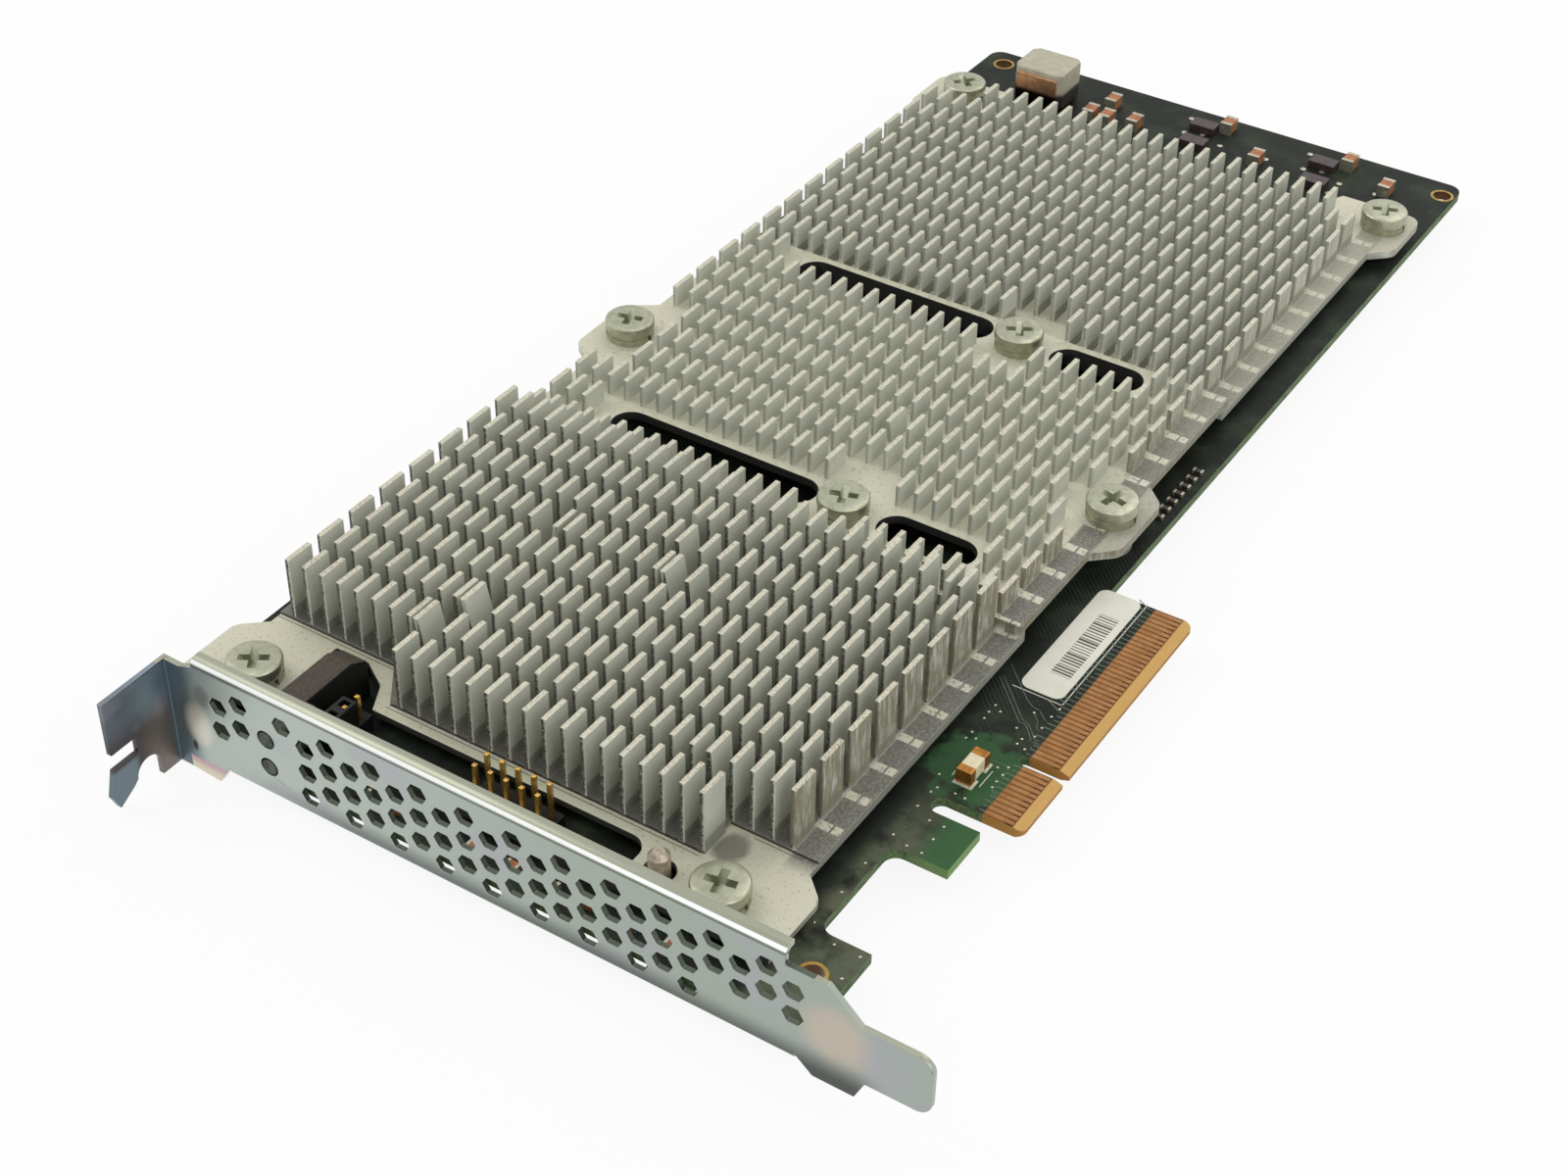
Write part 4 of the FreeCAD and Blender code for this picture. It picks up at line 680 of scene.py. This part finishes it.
# the small parts' finishes
partLooks = {
    "contactGold": {"tone": tone(160, 110, 58), "other": tone(140, 94, 46), "grain": 2.2, "rough": 0.42,
                    "metal": 0.4},
    "pinGold": {"tone": tone(214, 176, 98), "other": tone(186, 142, 70), "grain": 0.8, "rough": 0.28,
                "metal": 0.9},
    "capGold": {"tone": tone(178, 120, 52), "other": tone(144, 92, 34), "grain": 0.9, "rough": 0.3,
                "metal": 0.7},
    # the rings' dark brown sides and bores are painted shade
    "ringGold": {"tone": tone(170, 140, 66), "other": tone(138, 110, 48), "grain": 0.7, "rough": 0.35,
                 "metal": 0.6, "side": tone(84, 54, 22)},
    "nickelSteel": {"tone": tone(171, 173, 151), "other": tone(153, 155, 133), "grain": 1.4, "rough": 0.32,
                    "metal": 0.75},
    "dullPin": {"tone": tone(188, 176, 158), "other": tone(158, 144, 126), "grain": 0.7, "rough": 0.42,
                "metal": 0.6},
    # the housing's near-black sides are painted shade
    "housingPlastic": {"tone": tone(78, 70, 62), "other": tone(62, 55, 49), "grain": 0.6, "rough": 0.6,
                       "side": tone(13, 12, 11), "shine": 0.25},
    "headerPlastic": {"tone": tone(13, 13, 14), "other": tone(20, 19, 19), "grain": 0.8, "rough": 0.5,
                      "shine": 0.25},
    "clearPipe": {"tone": tone(78, 83, 72), "other": tone(30, 33, 28), "grain": 1.4, "rough": 0.4, "shine": 0.3},
    # the dark lower part of the inductor and its straps is painted shadow
    "ferriteGrey": {"tone": tone(170, 166, 144), "other": tone(184, 180, 160), "grain": 1.6, "rough": 0.55,
                    "foot": 3.9 * mm, "footShade": tone(34, 30, 26)},
    "strapCopper": {"tone": tone(196, 140, 104), "other": tone(214, 170, 134), "grain": 1.1, "rough": 0.35,
                    "metal": 0.8, "foot": 3.9 * mm, "footShade": tone(30, 22, 18)},
    "ceramicWhite": {"tone": tone(232, 222, 190), "other": tone(220, 208, 172), "grain": 1.0, "rough": 0.4},
    "chipEpoxy": {"tone": tone(30, 30, 32), "other": tone(42, 41, 42), "grain": 0.7, "rough": 0.55},
    "gapFiller": {"tone": tone(150, 158, 166), "other": tone(134, 142, 152), "grain": 1.2, "rough": 0.8},
    "capacitorTan": {"tone": tone(176, 112, 66), "other": tone(146, 84, 46), "grain": 0.8, "rough": 0.5},
    "chokeBrown": {"tone": tone(62, 46, 46), "other": tone(44, 34, 36), "grain": 0.8, "rough": 0.45},
    "tinSolder": {"tone": tone(196, 192, 174), "other": tone(164, 158, 138), "grain": 0.4, "rough": 0.3,
                  "metal": 0.75},
    "silkInk": {"tone": tone(206, 210, 200), "other": tone(180, 186, 176), "grain": 0.5, "rough": 0.6},
    "copperRun": {"tone": tone(96, 112, 92), "other": tone(70, 86, 68), "grain": 0.9, "rough": 0.35},
}
finishes = {name: mottled(name, look) for name, look in partLooks.items()}
finishes["castAluminium"] = makeCastFinish(castLook)
finishes["zincPlate"] = makeZincFinish(zincLook)
finishes["solderMask"] = makeBoardFinish(boardLook)
finishes["labelFilm"] = makeLabelFinish(labelLook)
print("finishes made:", len(finishes))

# finish of each CAD node, and the rounding of its edges in millimetres
nodeLooks = {
    "circuit_board": ("solderMask", 0.0), "edge_contacts": ("contactGold", 0.0),
    "heat_sink": ("castAluminium", 0.1), "lock_washers": ("nickelSteel", 0.0),
    "board_nuts": ("nickelSteel", 0.12), "locating_pin": ("dullPin", 0.0), "bracket": ("zincPlate", 0.1),
    "lamp_housing": ("housingPlastic", 0.35), "light_pipes": ("clearPipe", 0.0),
    "test_header": ("headerPlastic", 0.08), "test_header_pins": ("pinGold", 0.08),
    "jumper_header": ("headerPlastic", 0.08), "jumper_pins": ("pinGold", 0.08),
    "jumper_shunt": ("headerPlastic", 0.12), "power_inductor": ("ferriteGrey", 0.3),
    "inductor_terminals": ("strapCopper", 0.12), "fuse_body": ("ceramicWhite", 0.05),
    "fuse_caps": ("capGold", 0.15), "label": ("labelFilm", 0.0), "controller_chip": ("chipEpoxy", 0.15),
    "controller_pad": ("gapFiller", 0.0), "memory_chips": ("chipEpoxy", 0.1), "flash_chips": ("chipEpoxy", 0.1),
    "flash_pads": ("gapFiller", 0.0), "back_flash_chips": ("chipEpoxy", 0.1),
    "rear_capacitors": ("capacitorTan", 0.15), "rear_chokes": ("chokeBrown", 0.15),
    "side_chip_parts": ("chokeBrown", 0.06), "front_chip_parts": ("capacitorTan", 0.08),
    "heat_sink_screws": ("nickelSteel", 0.0),
}
edgeLook = {"joinReach": 0.002 * mm, "segments": 2, "angle": 40}


def dressNode(name, finishName, rounding, look):
    node = nodes[name]
    node.data.materials.clear()
    node.data.materials.append(finishes[finishName])
    if rounding:
        weld = node.modifiers.new("joinEdges", "WELD")
        weld.merge_threshold = look["joinReach"]
        bevel = node.modifiers.new("softEdges", "BEVEL")
        bevel.width = rounding * mm
        bevel.segments = look["segments"]
        bevel.limit_method = "ANGLE"
        bevel.angle_limit = math.radians(look["angle"])
        bevel.use_clamp_overlap = False


for name, (finishName, rounding) in nodeLooks.items():
    dressNode(name, finishName, rounding, edgeLook)
print("CAD nodes dressed:", len(nodeLooks))


# boxes round the separate solids of a CAD node, in metres
def solidBoxes(name):
    mesh = nodes[name].data
    spots = [tuple(round(c / mm, 3) for c in vertex.co) for vertex in mesh.vertices]
    group = {spot: spot for spot in spots}

    def top(spot):
        while group[spot] != spot:
            group[spot] = group[group[spot]]
            spot = group[spot]
        return spot

    for edge in mesh.edges:
        first, second = (top(spots[index]) for index in edge.vertices)
        group[first] = second
    members = {}
    for spot in group:
        members.setdefault(top(spot), []).append(spot)
    boxes = []
    for found in members.values():
        low = Vector(min(spot[axis] for spot in found) * mm for axis in range(3))
        high = Vector(max(spot[axis] for spot in found) * mm for axis in range(3))
        boxes.append((low, high))
    return sorted(boxes, key=lambda box: (round(box[0].y, 4), round(box[0].x, 4)))


def addPiece(name, shape, finishName, smoothAngle=35):
    mesh = bpy.data.meshes.new(name)
    shape.to_mesh(mesh)
    shape.free()
    mesh.shade_smooth()
    mesh.set_sharp_from_angle(angle=math.radians(smoothAngle))
    mesh.materials.append(finishes[finishName])
    piece = bpy.data.objects.new(name, mesh)
    bpy.context.scene.collection.objects.link(piece)
    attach(piece, "root")
    return piece


def addBlock(shape, low, high):
    middle, size = (Vector(low) + Vector(high)) / 2, Vector(high) - Vector(low)
    bmesh.ops.create_cube(shape, size=1, matrix=Matrix.Translation(middle) @ Matrix.Diagonal((*size, 1)))


# a flat bar from one place on the board to another
def addBar(shape, start, end, width, low, high):
    start, end = Vector((*start, 0)), Vector((*end, 0))
    run = end - start
    middle = (start + end) / 2 + Vector((0, 0, (low + high) / 2))
    turn = Matrix.Rotation(math.atan2(run.y, run.x), 4, "Z")
    size = Matrix.Diagonal((run.length + width, width, high - low, 1))
    bmesh.ops.create_cube(shape, size=1, matrix=Matrix.Translation(middle) @ turn @ size)


def addDot(shape, place, radius, low, high, crown=0.6, sides=12):
    middle = Matrix.Translation(Vector((*place, (low + high) / 2)))
    bmesh.ops.create_cone(shape, cap_ends=True, segments=sides, radius1=radius, radius2=radius * crown,
                          depth=high - low, matrix=middle)


# a closed ring of revolution about a vertical line, from radius and height pairs
def addTurned(shape, place, profile, sides):
    rings = []
    for index in range(sides):
        angle = 2 * math.pi * index / sides
        spoke = Vector((math.cos(angle), math.sin(angle), 0))
        rings.append([shape.verts.new(Vector(place) + spoke * radius + Vector((0, 0, height)))
                      for radius, height in profile])
    for index in range(sides):
        here, there = rings[index], rings[(index + 1) % sides]
        for step in range(len(profile)):
            after = (step + 1) % len(profile)
            shape.faces.new((here[step], there[step], there[after], here[after]))
    bmesh.ops.recalc_face_normals(shape, faces=shape.faces)


# pan-head screws with a cross recess, in millimetres and degrees
screwLook = {
    "profile": [(3.7, 0.0), (3.7, 0.66), (4.0, 0.72), (4.0, 1.8), (3.94, 2.06), (3.76, 2.26), (3.45, 2.35),
                (2.4, 2.38), (0.4, 2.4)],
    "headHeight": 2.4,
    "shank": 2.0,
    "shankInset": 0.02,
    "shankSides": 32,
    "recessOver": 0.2,
    "recessReach": 2.4,
    "recessWidth": 1.3,
    "recessDepth": 1.6,
    "recessTaper": 0.42,
    "recessFoot": 0.6,
    "edgeRound": 0.14,
    "edgeAngle": 40,
    "smoothAngle": 18,
    "turns": [33, 13, 19, 15, 75, 30, 50, 22],
    "sides": 48,
}


def makeScrewHead(look):
    head = bmesh.new()
    spokes = [2 * math.pi * index / look["sides"] for index in range(look["sides"])]
    rings = []
    for radius, height in look["profile"]:
        reach, level = radius * mm, height * mm
        rings.append([head.verts.new((reach * math.cos(angle), reach * math.sin(angle), level))
                      for angle in spokes])
    for lower, upper in zip(rings, rings[1:]):
        for i in range(look["sides"]):
            j = (i + 1) % look["sides"]
            head.faces.new((lower[i], lower[j], upper[j], upper[i]))
    head.faces.new(list(reversed(rings[0])))
    head.faces.new(rings[-1])
    blank = bpy.data.objects.new("screwBlank", bpy.data.meshes.new("screwBlank"))
    head.to_mesh(blank.data)
    head.free()
    bpy.context.scene.collection.objects.link(blank)

    cutters = []
    for turn in (0, 90):
        wedge = bmesh.new()
        top = (look["headHeight"] + look["recessOver"]) * mm
        bottom = (look["headHeight"] - look["recessDepth"]) * mm
        made = bmesh.ops.create_cube(wedge, size=1)
        for vert in made["verts"]:
            above = vert.co.z > 0
            reach = 2 * look["recessReach"] * mm * (1 if above else look["recessTaper"])
            width = look["recessWidth"] * mm * (1 if above else look["recessFoot"])
            vert.co = Vector((vert.co.x * reach, vert.co.y * width, top if above else bottom))
        wedge.transform(Matrix.Rotation(math.radians(turn), 4, "Z"))
        cutter = bpy.data.objects.new("recessCutter", bpy.data.meshes.new("recessCutter"))
        wedge.to_mesh(cutter.data)
        wedge.free()
        bpy.context.scene.collection.objects.link(cutter)
        cut = blank.modifiers.new("recess", "BOOLEAN")
        cut.operation, cut.solver, cut.object = "DIFFERENCE", "EXACT", cutter
        cutters.append(cutter)
    rounding = blank.modifiers.new("recessEdges", "BEVEL")
    rounding.width, rounding.segments = look["edgeRound"] * mm, 1
    rounding.limit_method, rounding.angle_limit = "ANGLE", math.radians(look["edgeAngle"])
    bpy.context.view_layer.update()
    done = bpy.data.meshes.new_from_object(blank.evaluated_get(bpy.context.evaluated_depsgraph_get()))
    for spare in (blank, *cutters):
        bpy.data.objects.remove(spare)
    return done


def makeScrews(look):
    head = makeScrewHead(look)
    screws = bmesh.new()
    for index, (low, high) in enumerate(solidBoxes("heat_sink_screws")):
        middle = (low + high) / 2
        seat = high.z - look["headHeight"] * mm
        part = bmesh.new()
        part.from_mesh(head)
        part.transform(Matrix.Translation((middle.x, middle.y, seat))
                       @ Matrix.Rotation(math.radians(look["turns"][index]), 4, "Z"))
        spare = bpy.data.meshes.new("screwPart")
        part.to_mesh(spare)
        part.free()
        screws.from_mesh(spare)
        bpy.data.meshes.remove(spare)
        shankTop = seat + look["shankInset"] * mm
        addDot(screws, (middle.x, middle.y), look["shank"] * mm, low.z, shankTop, 1.0, look["shankSides"])
    piece = addPiece("panScrews", screws, "nickelSteel", look["smoothAngle"])
    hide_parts("heat_sink_screws")


makeScrews(screwLook)
print("screws made")

# contacts on the solder side, under those on the component side
backContactLook = {"thick": 0.06 * mm}


def makeBackContacts(look):
    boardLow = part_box("circuit_board")[0]
    shape = bmesh.new()
    for low, high in solidBoxes("edge_contacts"):
        addBlock(shape, (low.x, low.y, boardLow.z - look["thick"]), (high.x, high.y, boardLow.z))
    addPiece("backContacts", shape, "contactGold")


makeBackContacts(backContactLook)

# plated rings round the board's free holes, on both faces
ringLook = {"width": 0.5 * mm, "thick": 0.04 * mm, "wall": 0.03 * mm, "sides": 40}


def makeHoleRings(look):
    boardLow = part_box("circuit_board")[0]
    shape = bmesh.new()
    for mount in frame["record"]["mounts"]:
        if mount["kind"] != "bore":
            continue
        x, y = mount["pos_m"][:2]
        inner = mount["dims"]["r_mm"] * mm
        outer = inner + look["width"]
        for low, high in ((0.0, look["thick"]), (boardLow.z - look["thick"], boardLow.z)):
            addTurned(shape, (x, y, 0), [(inner, low), (outer, low), (outer, high), (inner, high)], look["sides"])
        bore, low = inner - look["wall"], boardLow.z
        addTurned(shape, (x, y, 0), [(bore, low), (inner, low), (inner, 0.0), (bore, 0.0)], look["sides"])
    addPiece("holeRings", shape, "ringGold")


makeHoleRings(ringLook)

# bright vias near the contacts, and solder dots behind the heat sink, in millimetres
viaLook = {
    "near": [(-15.2, 7.8), (-15.3, 6.1), (-14.0, 7.0), (-15.2, 4.6), (-15.2, 1.2), (-15.3, -0.3), (-14.1, 0.3),
             (-10.5, 5.3), (-10.0, 9.4), (-7.6, 7.2), (-8.8, 3.7), (-8.9, 2.5), (-7.6, 5.1), (-7.5, 2.1),
             (-8.8, -3.1), (-7.6, -2.3), (-7.5, -4.0), (-7.6, -5.6), (-7.5, -6.9), (-14.7, -8.6), (-13.6, -11.0),
             (-13.9, -12.2), (-14.0, -15.5), (-11.3, -17.0), (-9.1, -17.0), (-13.9, -21.9), (-11.4, -22.7),
             (-9.1, -19.8), (-9.1, -22.8), (-14.2, -28.4), (-9.5, -10.8), (-11.0, -10.7), (-7.4, 12.0),
             (-7.6, 10.0), (-14.0, -34.5), (-14.1, -40.9), (-10.0, -42.7), (-6.2, -42.7), (-6.2, -47.0)],
    "rear": [(-61.9, 172.2), (-57.4, 170.3), (-58.5, 163.3), (-61.2, 160.5), (-65.2, 171.2), (-66.4, 176.9),
             (-37.5, 171.9), (-33.1, 169.7), (-33.5, 165.3), (-40.8, 171.0), (-42.0, 176.9), (-48.1, 170.4),
             (-24.6, 167.5), (-21.5, 166.8), (-81.4, 163.8), (-78.2, 163.8), (-26.1, 169.8)],
    "nearRadius": 0.2,
    "rearRadius": 0.55,
    "height": 0.05,
}


def makeVias(look):
    shape = bmesh.new()
    for places, radius in ((look["near"], look["nearRadius"]), (look["rear"], look["rearRadius"])):
        for x, y in places:
            addDot(shape, (x * mm, y * mm), radius * mm, 0.0, look["height"] * mm)
    addPiece("boardVias", shape, "tinSolder")


makeVias(viaLook)

# copper runs: necks from the contacts, and a few longer ones towards the heat sink, in millimetres
runLook = {
    "width": 0.16, "fineWidth": 0.11, "thick": 0.03, "neck": 1.3, "neckSpread": (0.6, 1.3), "seed": 4,
    "slant": 2.2, "fan": 0.55, "slantStart": 11.0, "skipEvery": 3,
    "fine": [[(-17.66, 13.44), (-10.7, 6.48), (-9.88, 6.57), (-8.93, 5.7), (-7.48, 3.92), (-6.23, 4.01)],
             [(-17.31, 13.93), (-10.35, 6.97), (-9.7, 7.0), (-8.6, 6.0), (-7.2, 4.4), (-6.23, 4.5)],
             [(-17.58, 16.73), (-12.0, 11.17), (-10.64, 10.31), (-9.52, 10.2), (-7.95, 8.76)],
             [(-9.93, 9.24), (-8.66, 8.04), (-8.09, 6.51), (-6.22, 6.5)],
             [(-10.4, -2.3), (-7.9, -2.2), (-7.0, -3.3), (-6.22, -3.3)],
             [(-7.5, -6.9), (-6.9, -7.9), (-6.22, -8.0)]],
}


def makeRuns(look):
    shape = bmesh.new()
    rng = random.Random(look["seed"])
    width, thick, slant = look["width"] * mm, look["thick"] * mm, look["slant"] * mm
    for index, (low, high) in enumerate(solidBoxes("edge_contacts")):
        y = (low.y + high.y) / 2
        neck = (low.x - look["neck"] * mm * rng.uniform(*look["neckSpread"]), y)
        addBar(shape, (low.x, y), neck, width, 0.0, thick)
        if index % look["skipEvery"] == 1 or y < look["slantStart"] * mm:
            continue
        addBar(shape, neck, (neck[0] - slant, neck[1] + slant * look["fan"]), width, 0.0, thick)
    for places in look["fine"]:
        for start, end in zip(places, places[1:]):
            addBar(shape, [c * mm for c in start], [c * mm for c in end], look["fineWidth"] * mm, 0.0, thick)
    addPiece("copperRuns", shape, "copperRun")


makeRuns(runLook)

# printed lines on the board: two along the label and one on each side of the fuse
silkLook = {"width": 0.16 * mm, "thick": 0.02 * mm, "labelGap": 0.55 * mm, "fuseGap": 0.9 * mm}


def makeSilkLines(look):
    shape = bmesh.new()
    low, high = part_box("label")
    gap = look["labelGap"]
    corners = [(low.x - gap, low.y - gap), (high.x + gap, low.y - gap), (high.x + gap, high.y)]
    for start, end in zip(corners, corners[1:]):
        addBar(shape, start, end, look["width"], 0.0, look["thick"])
    low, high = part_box("fuse_caps")
    gap = look["fuseGap"]
    for x in (low.x - gap, high.x + gap):
        addBar(shape, (x, low.y + gap), (x, high.y - gap), look["width"], 0.0, look["thick"])
    addPiece("silkLines", shape, "silkInk")


makeSilkLines(silkLook)

# solder feet of the fuse and tinned ends of the chip parts
solderLook = {
    "footReach": 0.45 * mm,
    "footHeight": 0.28 * mm,
    "footCrown": 0.82,
    "cornerShare": 1.414,      # from a square's half side to its corner
    "endShare": 0.22,
    "endSkin": 0.03 * mm,
    "endAxes": {"rear_capacitors": 1, "side_chip_parts": 0, "front_chip_parts": 0},
}


def makeSolder(look):
    shape = bmesh.new()
    for low, high in solidBoxes("fuse_caps"):
        middle, size = (low + high) / 2, high - low
        radius = max(size.x, size.y) / 2 * look["cornerShare"] + look["footReach"]
        made = bmesh.ops.create_cone(shape, cap_ends=True, segments=4, radius1=radius,
                                     radius2=radius * look["footCrown"], depth=look["footHeight"])
        wide, deep = (part / 2 + look["footReach"] for part in (size.x, size.y))
        narrow = Matrix.Diagonal((1, deep / wide, 1, 1))
        place = Matrix.Translation((middle.x, middle.y, look["footHeight"] / 2))
        turn = Matrix.Rotation(math.radians(45), 4, "Z")
        bmesh.ops.transform(shape, matrix=place @ narrow @ turn, verts=made["verts"])
    skin = look["endSkin"]
    for name, along in look["endAxes"].items():
        for low, high in solidBoxes(name):
            reach = (high[along] - low[along]) * look["endShare"]
            for side in (0, 1):
                start, stop = low - Vector((skin, skin, 0)), high + Vector((skin, skin, skin))
                if side:
                    start[along] = stop[along] - reach
                else:
                    stop[along] = start[along] + reach
                addBlock(shape, start, stop)
    addPiece("solderEnds", shape, "tinSolder")


makeSolder(solderLook)
print("board details made")

# floor, lamps, world and camera
stageLook = {
    "floorSize": 4.0,
    "floorDrop": 0.05 * mm,
    "floor": (0.86, 0.86, 0.85, 1),
    "floorRough": 0.9,
    "floorWhite": 0.9,
    "white": (1, 1, 1, 1),
    "skyWhite": 1.0,
    "skyFill": 0.46,
}
lampLooks = [
    {"name": "leftPanel", "place": (-0.55, -0.05, 0.62), "size": 0.5, "watts": 1.95, "tint": (1.0, 0.99, 0.94)},
    {"name": "rearPanel", "place": (0.1, 0.62, 0.6), "size": 0.7, "watts": 1.95, "tint": (1.0, 0.99, 0.95)},
    {"name": "frontPanel", "place": (0.32, -0.75, 0.5), "size": 0.8, "watts": 2.0, "tint": (0.98, 0.99, 1.0)},
    {"name": "rightPanel", "place": (0.6, -0.1, 0.45), "size": 0.6, "watts": 1.3, "tint": (1.0, 0.99, 0.95)},
]
cameraLook = {
    "place": (0.099392, -0.230366, 0.230897),
    "turn": (51.2331, -0.8702, 32.8093),
    "focalPixels": 2578.2,
    "imageWidth": 1600,
    "sensor": 36.0,
    "clip": (0.01, 20),
}


# 1 for rays from the camera and for mirrored or passing ones, which see white
def brightRays(finish):
    rays = [finish.node("ShaderNodeLightPath", output=name)
            for name in ("Is Camera Ray", "Is Glossy Ray", "Is Transmission Ray")]
    return finish.node("ShaderNodeMath", {"operation": "MAXIMUM"}, {0: rays[0] + rays[1], 1: rays[2]})


def makeFloor(look):
    mesh = bpy.data.meshes.new("paleFloor")
    half, level = look["floorSize"] / 2, cadLow.z - look["floorDrop"]
    corners = [(-half, -half, level), (half, -half, level), (half, half, level), (-half, half, level)]
    mesh.from_pydata(corners, [], [(0, 1, 2, 3)])
    floor = bpy.data.objects.new("paleFloor", mesh)
    bpy.context.scene.collection.objects.link(floor)
    finish = Finish("paleFloor")
    paint = {"Base Color": look["floor"], "Roughness": look["floorRough"]}
    matte = finish.node("ShaderNodeBsdfPrincipled", {}, paint)
    white = finish.node("ShaderNodeEmission", {}, {"Color": look["white"], "Strength": look["skyWhite"]})
    share = brightRays(finish) * look["floorWhite"]
    surface = finish.node("ShaderNodeMixShader", {}, {0: share, 1: matte, 2: white})
    finish.node("ShaderNodeOutputMaterial", {}, {"Surface": surface})
    mesh.materials.append(finish.material)


def makeSky(look):
    world = bpy.data.worlds.new("studioSky")
    bpy.context.scene.world = world
    finish = Finish("studioSky", world)
    level = look["skyFill"] + brightRays(finish) * (look["skyWhite"] - look["skyFill"])
    sky = finish.node("ShaderNodeBackground", {}, {"Color": look["white"], "Strength": level})
    finish.node("ShaderNodeOutputWorld", {}, {"Surface": sky})


def makeLamp(look, aim):
    lamp = bpy.data.lights.new(look["name"], "AREA")
    lamp.shape = "SQUARE"
    lamp.size = look["size"]
    lamp.energy = look["watts"]
    lamp.color = look["tint"]
    panel = bpy.data.objects.new(look["name"], lamp)
    bpy.context.scene.collection.objects.link(panel)
    panel.location = look["place"]
    panel.rotation_euler = (aim - Vector(look["place"])).to_track_quat("-Z", "Y").to_euler()


def makeCamera(look):
    lens = bpy.data.cameras.new("photoCamera")
    lens.sensor_fit = "HORIZONTAL"
    lens.sensor_width = look["sensor"]
    lens.lens = look["focalPixels"] * look["sensor"] / look["imageWidth"]
    lens.clip_start, lens.clip_end = look["clip"]
    camera = bpy.data.objects.new("photoCamera", lens)
    bpy.context.scene.collection.objects.link(camera)
    camera.location = look["place"]
    camera.rotation_euler = [math.radians(angle) for angle in look["turn"]]
    bpy.context.scene.camera = camera


makeFloor(stageLook)
makeSky(stageLook)
for lampLook in lampLooks:
    makeLamp(lampLook, (cadLow + cadHigh) / 2)
makeCamera(cameraLook)
bpy.context.scene.view_settings.view_transform = "Standard"
print("stage set")
